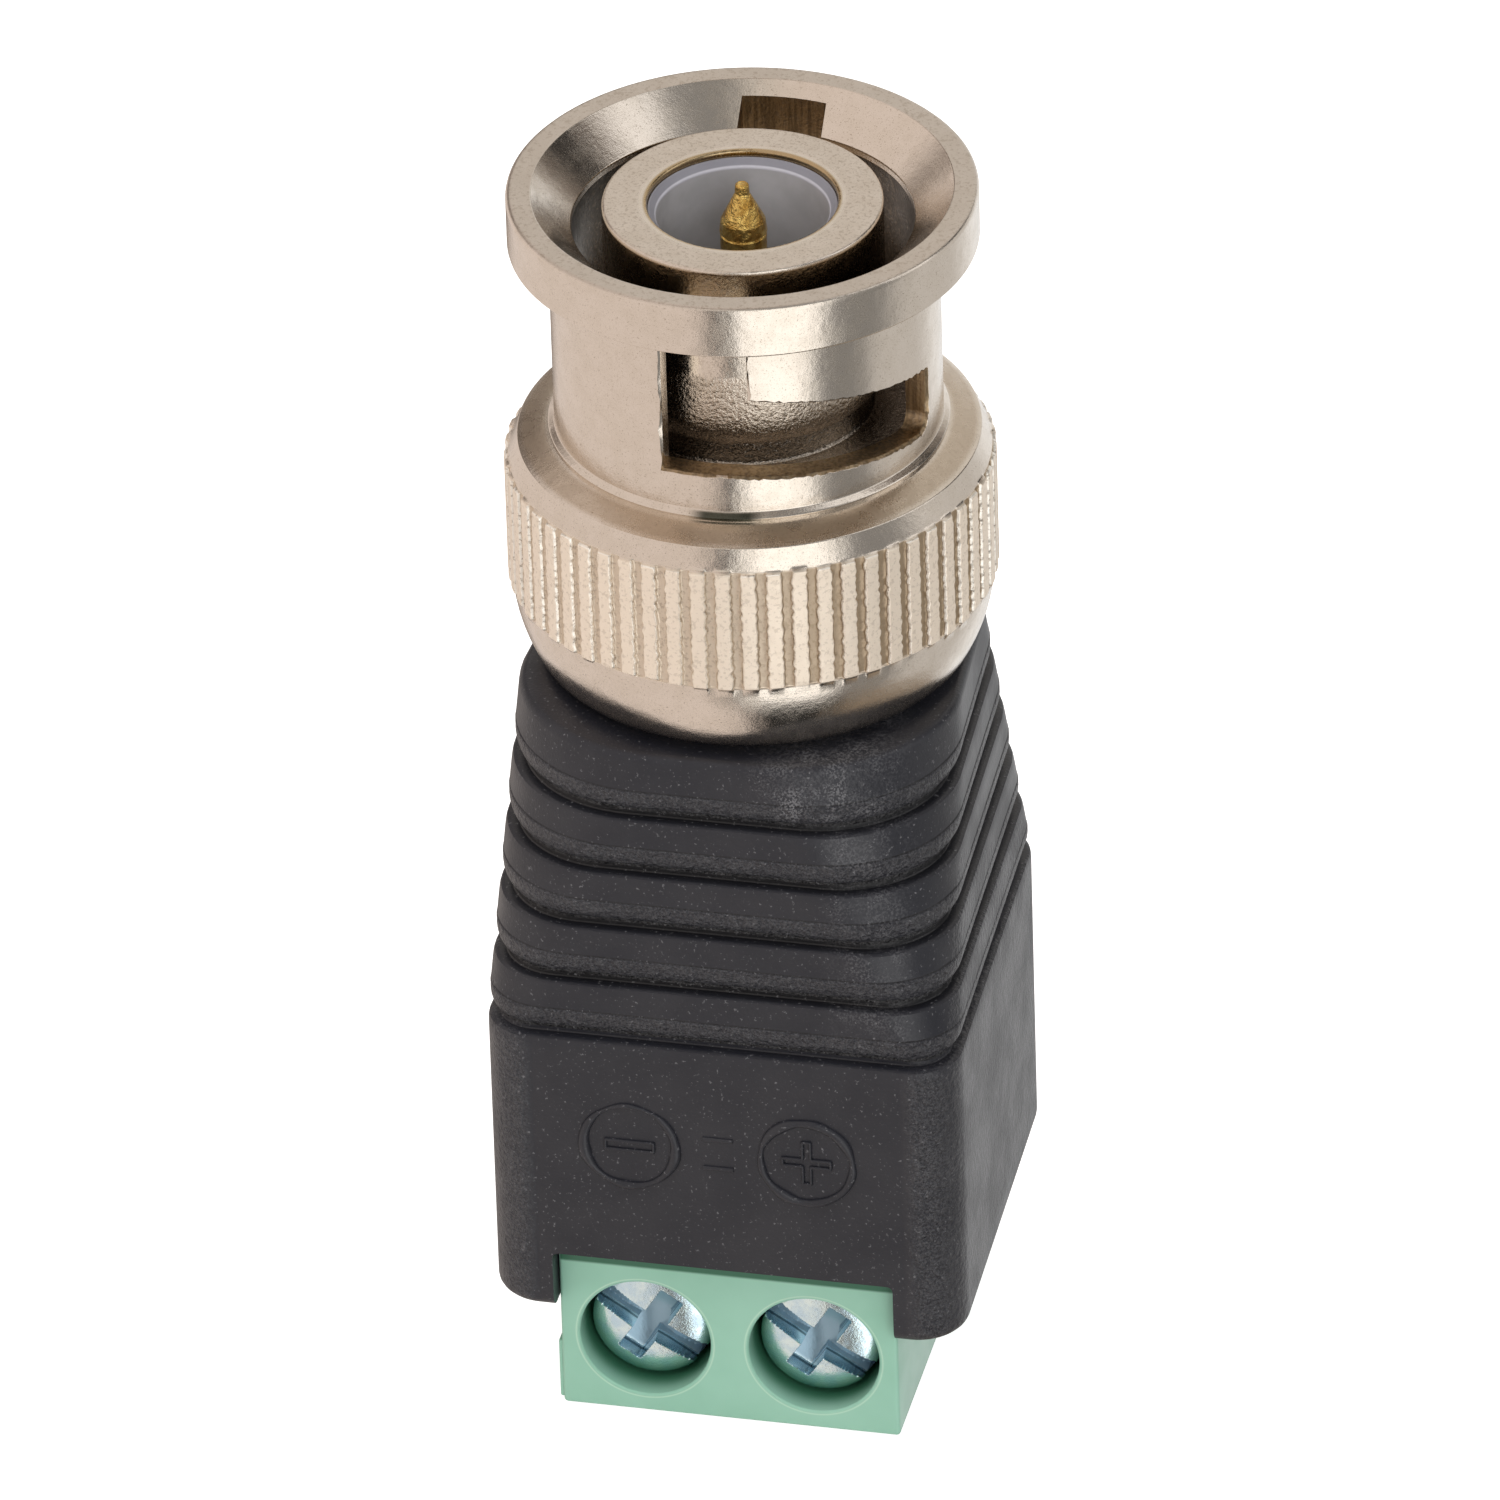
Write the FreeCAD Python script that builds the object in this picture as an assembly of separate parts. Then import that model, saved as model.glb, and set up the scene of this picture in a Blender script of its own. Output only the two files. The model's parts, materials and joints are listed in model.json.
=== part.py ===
# Bayonet coaxial plug with a two-way screw terminal, in millimetres.
# Z runs up the plug's axis, the terminal block stands on z = 0 and its screws face -Y.
import FreeCAD, Part
from FreeCAD import Vector
from math import acos, cos, degrees, pi, radians, sin, sqrt, tan
import os

os.makedirs("parts", exist_ok=True)

# Terminal block housing
terminal_pitch = 5.08
cell_margin = 2.54          # from an outer terminal's axis to the block's side
block_length = 7.6          # along Z, from the wire side to the far side
block_depth = 10.0          # along Y, from the screw side to the pin side
block_front = 6.2           # the screw side's distance in front of the plug's axis
screw_height = 2.57         # screw axis above the wire side
side_rail_height = 0.35     # the ridge by which such blocks lock side by side
side_rail_width = 1.5
side_rail_inset = 0.15      # behind the screw side
side_rail_end = 0.9         # its end above the wire side
side_rail_gap = 0.3         # its other end below the moulding

# Clamp screws
screw_head_radius = 1.8
screw_head_thickness = 1.85
screw_head_sink = 0.65      # head top below the block's screw side
screw_head_play = 0.15
screw_crown_height = 0.35   # fall of the head's rounded rim
screw_crown_width = 0.45
screw_shank_radius = 1.25
screw_tip_gap = 0.05
recess_cross_width = 0.72
recess_cross_length = 2.44
recess_slot_width = 0.66
recess_depth = 0.75
recess_cross_depth = 0.9
recess_turn = 33.0          # the long slot's angle from the X axis, seen from the front

# Clamp cages and current bars
chamber_half_width = 1.85
shoulder_thickness = 0.6    # the wall that the screw head sits on
shank_hole_play = 0.12
cage_play = 0.1
cage_top_thickness = 0.95
cage_bottom_thickness = 0.5
cage_side_thickness = 0.4
cage_height = 3.2           # along the wire
clamp_travel = 2.0
wire_gap = 2.2              # room for the wire when the clamp is open
thread_play = 0.03
bar_thickness = 0.5
bar_half_width = 1.05
bar_play = 0.02
bar_foot = 0.2              # bar's lower end above the cage's
pin_half_width = 0.5
pin_height = 5.4            # its middle above the wire side
front_sill = 0.7            # wall under the chamber at the wire side
entry_half_width = 1.65
entry_flare = 0.3
chamber_top_margin = 0.3    # over the cage

# Moulded body
body_bottom = 3.73          # how far the block stands out of the moulding
box_height = 9.69           # up to the middle of the lowest groove
box_inset = 0.06            # box's side inside the knurl's
body_depth_inset = 0.34     # its front and back inside the knurl's
box_corner_radius = 1.8
rib_count = 4
rib_pitch = 1.95
collar_height = 2.12        # smooth part over the top groove
collar_inset = 0.64         # collar's side inside the knurl's
collar_corner_radius = 4.9
groove_depth = 0.34
groove_height = 0.22
groove_lip_height = 0.12    # small rounding over each groove
groove_lip_inset = 0.1
groove_roof_rise = 0.02
rib_roll = 0.62             # height over which a rib's upper face rolls out of its groove
back_draft = 0.018          # narrowing of the sides towards the back
bottom_roll = 0.4
top_roll = 0.25
least_corner = 0.15
pocket_play = 0.03
notch_height = 1.36         # height of the cut-out in the front wall

# Coupling sleeve, from its rear end up
sleeve_gap = 0.32           # free space over the moulding
tail_height = 2.38
tail_end_inset = 0.76       # tail's end inside the knurl
tail_bulge = 0.14
tail_edge = 0.1
knurl_height = 3.95
knurl_depth = 0.16
knurl_teeth = 60
groove_share = 0.42         # share of the pitch that the grooves take
groove_wall_share = 0.16    # share of a groove that each of its walls takes
root_proud = 0.04           # plain surfaces beside the knurl over its roots
chamfer_drop = 0.65
shoulder_inset = 0.41       # shoulder's edge inside the knurl
shoulder_drop = 0.46
shoulder_edge = 0.08
neck_wall = 0.69
neck_height = 6.0
foot_bead = 0.16
foot_bead_height = 0.12
flange_overhang = 1.17      # flange's edge outside the neck
flange_height = 1.6
flange_chamfer = 0.1
flange_fillet = 0.2
mouth_width = 0.71          # flat rim of the flange
mouth_depth = 1.05
bore_radius = 4.95          # the sleeve's other radii are worked out from this one
chamber_room = 1.2          # spring chamber outside the bore
chamber_wall = 0.99         # from the spring chamber to the knurl's crests
lip_thickness = 0.93
lip_step = 0.1              # lip's opening outside the bore

# Bayonet
channel_width = 2.5
channel_skin = 0.07         # depth of the entry channel in the flange beyond the neck
slot_end = 79.5             # degrees from the entry's middle
slot_floor_drop = 0.6       # fall of the slot's floor along its way
slot_floor_bow = 1.5        # power of that fall
slot_floor_height = 1.3     # floor at the entry, over the neck's foot
slot_roof_start = 3.95      # roof beside the entry, over the neck's foot
slot_roof_drop = 1.28
slot_roof_bow = 1.15
slot_corner = 0.55
slot_step = 8.0             # degrees between the sections of the slot

# Spring and washer
washer_thickness = 1.0
washer_play = 0.05
washer_edge = 0.1
spring_height = 1.8
spring_strip = 0.3
spring_waves = 3
spring_play = 0.02
spring_side_play = 0.15     # to the chamber's wall
spring_width = 0.88

# Outer contact
contact_flange_height = 2.0
contact_flange_play = 0.05
contact_neck_play = 0.1
shank_play = 0.25           # inside the sleeve's lip
shank_grip = 6.0           # length inside the moulding
shank_groove_depth = 0.5
shank_groove_width = 1.0
barrel_radius = 4.06
barrel_edge = 0.05
relief_radius = 3.6
relief_height = 0.75
ring_face_drop = 0.43       # ring face below the sleeve's front
barrel_length = 5.97        # from the ring face to the relief groove
ring_chamfer = 0.08
insulator_radius = 2.75
rear_bore_radius = 3.4
rear_bore_depth = 4.5

# Insulator
cup_face_drop = 0.2
cup_bore_radius = 2.5
cup_rim = 0.03
cup_slope = 0.9             # slope of the cup's mouth
cup_depth = 5.6
insulator_foot = 4.5
pin_socket_depth = 0.4

# Centre pin
pin_radius = 0.675
pin_root_step = 0.2         # wider by this inside the insulator
pin_tail_radius = 0.5
pin_tip_over_ring = 0.55
pin_nub_radius = 0.2
pin_nub_length = 0.32
pin_nub_edge = 0.05
pin_cone_length = 1.08
pin_collar_radius = 1.1
pin_collar_length = 1.2
pin_tail_length = 2.2

# Wires and solder
core_radius = 0.32
wire_radius = 0.56
wire_bend = 1.5
strip_length = 0.9
solder_radius = 0.95
solder_overlap = 0.15       # solder over the insulation's end
solder_gap = 0.05           # between a pin's solder and the block
bend_lift = 2.6             # height of the wires' lower bends over the pocket
ground_inset = 0.7          # ground wire's axis inside the shank's surface

# Derived heights and places
block_half_width = terminal_pitch / 2 + cell_margin
front_y = -block_front
back_y = front_y + block_depth
head_top_y = front_y + screw_head_sink
head_back_y = head_top_y + screw_head_thickness
chamber_front_y = head_back_y + shoulder_thickness
cage_front_y = chamber_front_y + cage_play + clamp_travel
bar_front_y = cage_front_y + cage_top_thickness + cage_play
bar_back_y = bar_front_y + bar_thickness
cage_back_y = bar_back_y + wire_gap + cage_bottom_thickness
chamber_back_y = cage_back_y + cage_play
entry_front_y = bar_back_y + cage_play
entry_back_y = chamber_back_y - cage_play
cage_low_z = screw_height - cage_height / 2
cage_high_z = screw_height + cage_height / 2
chamber_high_z = cage_high_z + chamber_top_margin
joint_y = back_y + solder_gap + solder_radius
pin_end_y = joint_y + pin_half_width
head_hole_radius = screw_head_radius + screw_head_play
terminal_x = {"minus": -terminal_pitch / 2, "plus": terminal_pitch / 2}

chamber_radius = bore_radius + chamber_room
knurl_radius = chamber_radius + chamber_wall
knurl_root = knurl_radius - knurl_depth
neck_radius = bore_radius + neck_wall
flange_radius = neck_radius + flange_overhang
mouth_radius = flange_radius - mouth_width
channel_radius = neck_radius + channel_skin
lip_radius = bore_radius + lip_step

box_half_width = knurl_radius - box_inset
collar_half_width = knurl_radius - collar_inset
body_half_depth = knurl_radius - body_depth_inset
box_top = body_bottom + box_height
collar_low = box_top + rib_count * rib_pitch
body_top = collar_low + collar_height
pocket_top = block_length + pocket_play

sleeve_low = body_top + sleeve_gap
knurl_low = sleeve_low + tail_height
knurl_high = knurl_low + knurl_height
shoulder_low = knurl_high + chamfer_drop
neck_low = shoulder_low + shoulder_drop
neck_high = neck_low + neck_height
sleeve_high = neck_high + flange_height

lip_high = sleeve_low + lip_thickness
washer_high = lip_high + washer_thickness
flange_low = washer_high + spring_height
flange_high = flange_low + contact_flange_height
ring_face = sleeve_high - ring_face_drop
relief_high = ring_face - barrel_length
relief_low = relief_high - relief_height
shank_low = body_top - shank_grip
contact_neck_radius = bore_radius - contact_neck_play
shank_radius = lip_radius - shank_play
ground_reach = shank_radius - ground_inset

cup_face = ring_face - cup_face_drop
cup_floor = cup_face - cup_depth
insulator_low = cup_floor - insulator_foot
pin_tip = ring_face + pin_tip_over_ring
pin_nub_low = pin_tip - pin_nub_length
pin_cone_low = pin_nub_low - pin_cone_length
pin_collar_high = insulator_low + pin_socket_depth
pin_collar_low = pin_collar_high - pin_collar_length
pin_low = pin_collar_low - pin_tail_length

overcut = 0.5               # how far a cutting tool reaches past what it cuts


def save(shape, name):
    shape.exportStep("parts/" + name + ".step")
    print(name, round(shape.Volume, 2), shape.isValid(), len(shape.Solids))


def box(x0, x1, y0, y1, z0, z1):
    return Part.makeBox(x1 - x0, y1 - y0, z1 - z0, Vector(x0, y0, z0))


def turned(points):
    # A closed outline of (radius, height) points, turned about the plug's axis.
    outline = Part.makePolygon([Vector(r, 0, z) for r, z in points + points[:1]])
    return Part.Face(outline).revolve(Vector(0, 0, 0), Vector(0, 0, 1), 360)


def arc_points(start, middle, end, count):
    # Points along the arc through three (radius, height) points, without its ends.
    arc = Part.Arc(*[Vector(r, 0, z) for r, z in (start, middle, end)])
    return [(p.x, p.z) for p in arc.discretize(count + 2)[1:-1]]


def rod_y(x, z, radius, y0, y1):
    return Part.makeCylinder(radius, y1 - y0, Vector(x, y0, z), Vector(0, 1, 0))


def rod_z(radius, z0, z1):
    return Part.makeCylinder(radius, z1 - z0, Vector(0, 0, z0))


# Moulded body

def body_share(z):
    # 0 at the box's top and below, 1 at the body's top.
    return max(0.0, (z - box_top) / (body_top - box_top))


def body_section(z, inset):
    # A rounded trapezium at height z, set in from the body's outer form.
    share = body_share(z)
    depth = body_half_depth - inset
    front = box_half_width + (collar_half_width - box_half_width) * share - inset
    back = front - back_draft * 2 * depth
    lean = acos(2 * depth / sqrt((2 * depth) ** 2 + (front - back) ** 2))
    corner = box_corner_radius + (collar_corner_radius - box_corner_radius) * share
    radius = min(max(corner - inset, least_corner), 0.8 * back, 0.8 * depth)
    corners = []
    for x, y, turn in ((front, -depth, pi / 2 + lean), (back, depth, pi / 2 - lean)):
        reach = radius * tan(turn / 2)
        along = Vector(-sin(lean), cos(lean), 0) * (1 if y < 0 else -1)
        side = Vector(x, y, 0) + along * reach
        flat = Vector(x - reach, y, 0)
        centre = Vector(x - reach, y + (radius if y < 0 else -radius), 0)
        out = (Vector(x, y, 0) - centre).normalize()
        corners.append((flat, centre + out * radius, side))
    (f0, fm, f1), (b0, bm, b1) = corners
    mirror = lambda v: Vector(-v.x, v.y, 0)
    lift = Vector(0, 0, z)
    line = lambda a, b: Part.LineSegment(a + lift, b + lift).toShape()
    arc = lambda a, m, b: Part.Arc(a + lift, m + lift, b + lift).toShape()
    return Part.Wire([
        line(mirror(f0), f0), arc(f0, fm, f1), line(f1, b1), arc(b1, bm, b0),
        line(b0, mirror(b0)), arc(mirror(b0), mirror(bm), mirror(b1)),
        line(mirror(b1), mirror(f1)), arc(mirror(f1), mirror(fm), mirror(f0))])


def body_levels():
    # Heights and insets of the outer form: rolled bottom, box, ribs with grooves, collar.
    levels = []
    for angle in (0, 45, 90):
        turn = radians(angle)
        levels.append((body_bottom + bottom_roll * (1 - cos(turn)), bottom_roll * (1 - sin(turn))))
    half = groove_height / 2
    for index in range(rib_count + 1):
        middle = box_top + index * rib_pitch
        levels.append((middle - half - groove_lip_height, 0))
        levels.append((middle - half, groove_lip_inset))
        levels.append((middle - half + groove_roof_rise, groove_depth))
        levels.append((middle + half, groove_depth))
        for angle in (35, 90):
            turn = radians(angle)
            levels.append((middle + half + rib_roll * (1 - cos(turn)), groove_depth * (1 - sin(turn))))
    for angle in (0, 45, 90):
        turn = radians(angle)
        levels.append((body_top - top_roll * (1 - sin(turn)), top_roll * (1 - cos(turn))))
    return levels


def moulded_body(held):
    # The outer form, less the block's pocket, the front notch and the pieces that it is moulded over.
    body = Part.makeLoft([body_section(z, inset) for z, inset in body_levels()], True, True)
    half = block_half_width + pocket_play
    front, back = front_y - pocket_play, back_y + pocket_play
    notch_front = -body_half_depth - overcut
    body = body.cut(box(-half, half, front, back, body_bottom - overcut, pocket_top))
    body = body.cut(box(-half, half, notch_front, front + overcut,
                        body_bottom - overcut, body_bottom + notch_height))
    for piece in held.values():
        body = body.cut(piece)
    return body


# Coupling sleeve

def knurl_band():
    # Flat-topped ridges round a ring, with straight grooves between them.
    pitch = 360 / knurl_teeth
    crest = pitch * (1 - groove_share) / 2
    root = pitch / 2 - pitch * groove_share * groove_wall_share
    at = lambda radius, angle: Vector(radius * cos(radians(angle)), radius * sin(radians(angle)), knurl_low)
    edges = []
    for index in range(knurl_teeth):
        middle = index * pitch
        edges.append(Part.Arc(at(knurl_radius, middle - crest), at(knurl_radius, middle),
                              at(knurl_radius, middle + crest)).toShape())
        stops = [at(knurl_radius, middle + crest), at(knurl_root, middle + root),
                 at(knurl_root, middle + pitch - root), at(knurl_radius, middle + pitch - crest)]
        for first, last in zip(stops, stops[1:]):
            edges.append(Part.LineSegment(first, last).toShape())
    band = Part.Face(Part.Wire(edges)).extrude(Vector(0, 0, knurl_high - knurl_low))
    inside = (knurl_root + chamber_radius) / 2
    return band.cut(rod_z(inside, knurl_low - overcut, knurl_high + overcut))


def sleeve_form():
    # The turned form: tail, knurl's seat, chamfer, shoulder, neck, flange, mouth, bore, spring chamber, lip.
    plain = knurl_root + root_proud
    seat = knurl_root - root_proud
    shoulder = knurl_radius - shoulder_inset
    bead = neck_radius + foot_bead
    fillet = flange_fillet
    tail_low = (knurl_radius - tail_end_inset, sleeve_low + tail_edge)
    tail_top = (plain, knurl_low)
    tail_middle = ((tail_top[0] + tail_low[0]) / 2 + tail_bulge, (tail_top[1] + tail_low[1]) / 2)
    outline = [(lip_radius, sleeve_low), (tail_low[0] - tail_edge, sleeve_low), tail_low]
    outline += arc_points(tail_low, tail_middle, tail_top, 4)
    outline += [tail_top, (seat, knurl_low), (seat, knurl_high), (plain, knurl_high),
                (shoulder, shoulder_low), (shoulder - shoulder_edge, shoulder_low + shoulder_edge / 2),
                (bead, neck_low - foot_bead_height), (bead, neck_low), (neck_radius, neck_low + foot_bead_height),
                (neck_radius, neck_high - fillet), (neck_radius + 0.3 * fillet, neck_high - 0.3 * fillet),
                (neck_radius + fillet, neck_high), (flange_radius, neck_high),
                (flange_radius, sleeve_high - flange_chamfer), (flange_radius - flange_chamfer, sleeve_high),
                (mouth_radius, sleeve_high), (bore_radius, sleeve_high - mouth_depth), (bore_radius, flange_high),
                (chamber_radius, flange_high), (chamber_radius, lip_high), (lip_radius, lip_high)]
    return turned(outline)


def slot_floor(angle):
    # Floor height: level at the entry, then falling, with a round end.
    height = slot_floor_height - slot_floor_drop * (angle / slot_end) ** slot_floor_bow
    to_end = radians(slot_end - angle) * neck_radius
    if to_end < slot_corner:
        height += slot_corner - sqrt(slot_corner ** 2 - (slot_corner - to_end) ** 2)
    return neck_low + height


def slot_roof(angle):
    return neck_low + slot_roof_start - slot_roof_drop * (angle / slot_end) ** slot_roof_bow


def bayonet_slot():
    # The ramp, as radial sections through the neck wall from the entry to the slot's end.
    near, far = bore_radius - overcut, neck_radius + overcut
    corner_turn = degrees(slot_corner / neck_radius)
    steps = int((slot_end - corner_turn) / slot_step)
    angles = [index * (slot_end - corner_turn) / steps for index in range(steps + 1)]
    angles += [slot_end - corner_turn * (1 - sin(radians(turn))) for turn in (20, 45, 70, 90)]
    sections = []
    for angle in angles:
        out = Vector(sin(radians(angle)), -cos(radians(angle)), 0)
        low, high = Vector(0, 0, slot_floor(angle)), Vector(0, 0, slot_roof(angle))
        corners = [out * near + low, out * far + low, out * far + high, out * near + high]
        sections.append(Part.makePolygon(corners + corners[:1]))
    return Part.makeLoft(sections, True, True)


def entry_channel():
    # The way in for a jack's lug, from the mouth down to the slot's floor.
    half = channel_width / 2
    inner = -sqrt(bore_radius ** 2 - half ** 2) + overcut
    block = box(-half, half, -channel_radius - overcut, inner, slot_floor(0), sleeve_high + overcut)
    return block.common(rod_z(channel_radius, slot_floor(0) - overcut, sleeve_high + 2 * overcut))


def coupling_sleeve():
    sleeve = sleeve_form().fuse(knurl_band())
    cut = entry_channel().fuse(bayonet_slot())
    opposite = cut.copy()
    opposite.rotate(Vector(0, 0, 0), Vector(0, 0, 1), 180)
    return sleeve.cut(cut).cut(opposite).removeSplitter()


# Spring and washer

def wave_spring():
    # A flat strip bent in waves round the axis, between the washer and the contact's flange.
    count = 16 * spring_waves
    middle = (washer_high + flange_low) / 2
    swing = (spring_height - spring_strip) / 2 - spring_play
    outer = chamber_radius - spring_side_play
    half = spring_strip / 2

    def rim(radius, offset):
        points = []
        for index in range(count):
            turn = 2 * pi * index / count
            points.append(Vector(radius * cos(turn), radius * sin(turn),
                                 middle + offset + swing * cos(spring_waves * turn)))
        curve = Part.BSplineCurve()
        curve.interpolate(points, PeriodicFlag=True)
        return curve.toShape()

    low_in, low_out = rim(outer - spring_width, -half), rim(outer, -half)
    high_in, high_out = rim(outer - spring_width, half), rim(outer, half)
    pairs = ((low_in, low_out), (low_out, high_out), (high_out, high_in), (high_in, low_in))
    shell = Part.makeShell([Part.makeRuledSurface(first, last) for first, last in pairs])
    shell.sewShape()
    spring = Part.makeSolid(shell)
    if spring.Volume < 0:
        spring.reverse()
    return spring


def thrust_washer():
    outer = chamber_radius - washer_play
    return turned([(lip_radius, lip_high), (outer, lip_high), (outer, washer_high - washer_edge),
                   (outer - washer_edge, washer_high), (lip_radius + washer_edge, washer_high),
                   (lip_radius, washer_high - washer_edge)])


# Contacts

def outer_contact():
    # Shank with its groove, flange, barrel behind the relief groove, and ring face, all bored through.
    flange = chamber_radius - contact_flange_play
    groove_low = (shank_low + body_top - shank_groove_width) / 2
    groove_high = groove_low + shank_groove_width
    groove_radius = shank_radius - shank_groove_depth
    rear_top = min(shank_low + rear_bore_depth, insulator_low)
    outside = [(shank_radius, shank_low), (shank_radius, groove_low), (groove_radius, groove_low),
               (groove_radius, groove_high), (shank_radius, groove_high), (shank_radius, flange_low),
               (flange, flange_low), (flange, flange_high), (contact_neck_radius, flange_high),
               (contact_neck_radius, relief_low), (relief_radius, relief_low),
               (relief_radius, relief_high - barrel_edge), (barrel_radius - barrel_edge, relief_high),
               (barrel_radius, relief_high + barrel_edge), (barrel_radius, ring_face - ring_chamfer),
               (barrel_radius - ring_chamfer, ring_face)]
    inside = [(insulator_radius + ring_chamfer, ring_face), (insulator_radius, ring_face - ring_chamfer),
              (insulator_radius, rear_top), (rear_bore_radius, rear_top), (rear_bore_radius, shank_low)]
    return turned(outside + inside)


def insulator():
    # The cup round the pin, with a thin rim and a sloped mouth.
    slope = (insulator_radius - cup_bore_radius) * cup_slope
    cup = turned([(0, insulator_low), (insulator_radius, insulator_low), (insulator_radius, cup_face),
                  (insulator_radius - cup_rim, cup_face), (cup_bore_radius, cup_face - slope),
                  (cup_bore_radius, cup_floor), (0, cup_floor)])
    return cup.cut(centre_pin())


def centre_pin():
    # Tail, collar, root in the insulator, straight pin, cone and the small nub left by turning.
    root = pin_radius + pin_root_step
    return turned([(0, pin_low), (pin_tail_radius, pin_low), (pin_tail_radius, pin_collar_low),
                   (pin_collar_radius, pin_collar_low), (pin_collar_radius, pin_collar_high),
                   (root, pin_collar_high), (root, cup_floor), (pin_radius, cup_floor),
                   (pin_radius, pin_cone_low), (pin_nub_radius, pin_nub_low),
                   (pin_nub_radius, pin_tip - pin_nub_edge), (pin_nub_radius - pin_nub_edge, pin_tip),
                   (0, pin_tip)])


# Terminal block

def wire_entry(x):
    # The flared opening on the wire side through which a wire goes into the cage.
    side, flare = entry_half_width, entry_flare
    straight = box(x - side, x + side, entry_front_y, entry_back_y, 0, front_sill + overcut)
    rims = []
    for grow, z in ((flare + overcut, -overcut), (0, flare)):
        corners = [Vector(x + sx * (side + grow), y, z) for sx, y in (
            (-1, entry_front_y - grow), (1, entry_front_y - grow), (1, entry_back_y + grow), (-1, entry_back_y + grow))]
        rims.append(Part.makePolygon(corners + corners[:1]))
    return straight.fuse(Part.makeLoft(rims, True, True))


def terminal_housing():
    housing = box(-block_half_width, block_half_width, front_y, back_y, 0, block_length)
    rail_front = front_y + side_rail_inset
    housing = housing.fuse(box(-block_half_width - side_rail_height, 0, rail_front,
                               rail_front + side_rail_width, side_rail_end, body_bottom - side_rail_gap))
    wide = chamber_half_width
    bar, pin = bar_half_width + bar_play, pin_half_width + bar_play
    bar_high = pin_height + bar_thickness / 2 + bar_play
    bar_low = pin_height - bar_thickness / 2 - bar_play
    for x in terminal_x.values():
        cuts = [rod_y(x, screw_height, head_hole_radius, front_y - overcut, head_back_y),
                rod_y(x, screw_height, screw_shank_radius + shank_hole_play, front_y, chamber_front_y + overcut),
                box(x - wide, x + wide, chamber_front_y, chamber_back_y, front_sill, chamber_high_z),
                wire_entry(x),
                box(x - bar, x + bar, bar_front_y - bar_play, bar_back_y + bar_play, chamber_high_z - bar_foot, bar_high),
                box(x - pin, x + pin, bar_front_y, back_y + overcut, bar_low, bar_high)]
        for cut in cuts:
            housing = housing.cut(cut)
    return housing.removeSplitter()


def terminal_screw(x):
    # Crowned head and shank turned about the screw's axis, less a slot and a cross.
    rim = head_top_y + screw_crown_height
    outline = [(0, head_top_y), (screw_head_radius - screw_crown_width, head_top_y),
               (screw_head_radius - 0.3 * screw_crown_width, head_top_y + 0.3 * screw_crown_height),
               (screw_head_radius, rim), (screw_head_radius, head_back_y), (screw_shank_radius, head_back_y),
               (screw_shank_radius, bar_front_y - screw_tip_gap), (0, bar_front_y - screw_tip_gap)]
    polygon = Part.makePolygon([Vector(r, y, 0) for r, y in outline + outline[:1]])
    screw = Part.Face(polygon).revolve(Vector(0, 0, 0), Vector(0, 1, 0), 360)
    reach = screw_head_radius + overcut
    arm = recess_cross_length / 2
    for length, width, depth, turn in ((reach, recess_slot_width, recess_depth, 0),
                                       (arm, recess_cross_width, recess_cross_depth, 0),
                                       (arm, recess_cross_width, recess_cross_depth, 90)):
        cut = box(-length, length, head_top_y - overcut, head_top_y + depth, -width / 2, width / 2)
        cut.rotate(Vector(0, 0, 0), Vector(0, 1, 0), recess_turn + turn)
        screw = screw.cut(cut)
    screw.translate(Vector(x, 0, screw_height))
    return screw


def clamp_cage(x):
    side = chamber_half_width - cage_play
    inner = side - cage_side_thickness
    inside_front = cage_front_y + cage_top_thickness
    cage = box(x - side, x + side, cage_front_y, cage_back_y, cage_low_z, cage_high_z)
    cage = cage.cut(box(x - inner, x + inner, inside_front, cage_back_y - cage_bottom_thickness,
                        cage_low_z - overcut, cage_high_z + overcut))
    return cage.cut(rod_y(x, screw_height, screw_shank_radius + thread_play,
                          cage_front_y - overcut, inside_front + overcut))


def terminal_pin(x):
    high = pin_height + bar_thickness / 2
    low = pin_height - bar_thickness / 2
    strip = box(x - bar_half_width, x + bar_half_width, bar_front_y, bar_back_y, cage_low_z + bar_foot, high)
    tail = box(x - pin_half_width, x + pin_half_width, bar_front_y, pin_end_y, low, high)
    return strip.fuse(tail).removeSplitter()


# Wires and solder

def bent_rod(points, radius):
    # A round rod: straight runs joined by tangent bends.
    runs, start = [], points[0]
    for before, corner, after in zip(points, points[1:], points[2:]):
        first = (before - corner).normalize()
        last = (after - corner).normalize()
        half = acos(first.dot(last)) / 2
        bend = min(wire_bend, 0.45 * min((before - corner).Length, (after - corner).Length) * tan(half))
        leave = corner + first * (bend / tan(half))
        centre = corner + (first + last).normalize() * (bend / sin(half))
        disc = Part.Face(Part.Wire(Part.makeCircle(radius, leave, first)))
        runs.append(Part.makeCylinder(radius, (leave - start).Length, start, leave - start))
        runs.append(disc.revolve(centre, last.cross(first), 180 - degrees(2 * half)))
        start = corner + last * (bend / tan(half))
    runs.append(Part.makeCylinder(radius, (points[-1] - start).Length, start, points[-1] - start))
    return runs[0].fuse(runs[1:]).removeSplitter()


def wire_route(start, terminal, trim):
    # From a contact down behind the block to a terminal pin's tail, cut back at both ends.
    level = pocket_top + bend_lift
    x = terminal_x[terminal]
    end = Vector(x, joint_y, pin_height + bar_thickness / 2)
    return [start - Vector(0, 0, trim), Vector(start.x, start.y, level + 2 * wire_bend),
            Vector(x, joint_y, level), end + Vector(0, 0, trim)]


def solder_drop(centre, taken):
    # A round drop of solder about a joint, less the pieces that it holds.
    half = strip_length + solder_overlap
    sides = arc_points((0, -half), (solder_radius, 0), (0, half), 5)
    drop = turned([(0, -half)] + sides + [(0, half)])
    drop.translate(centre)
    for piece in taken:
        drop = drop.cut(piece)
    return drop


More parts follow.
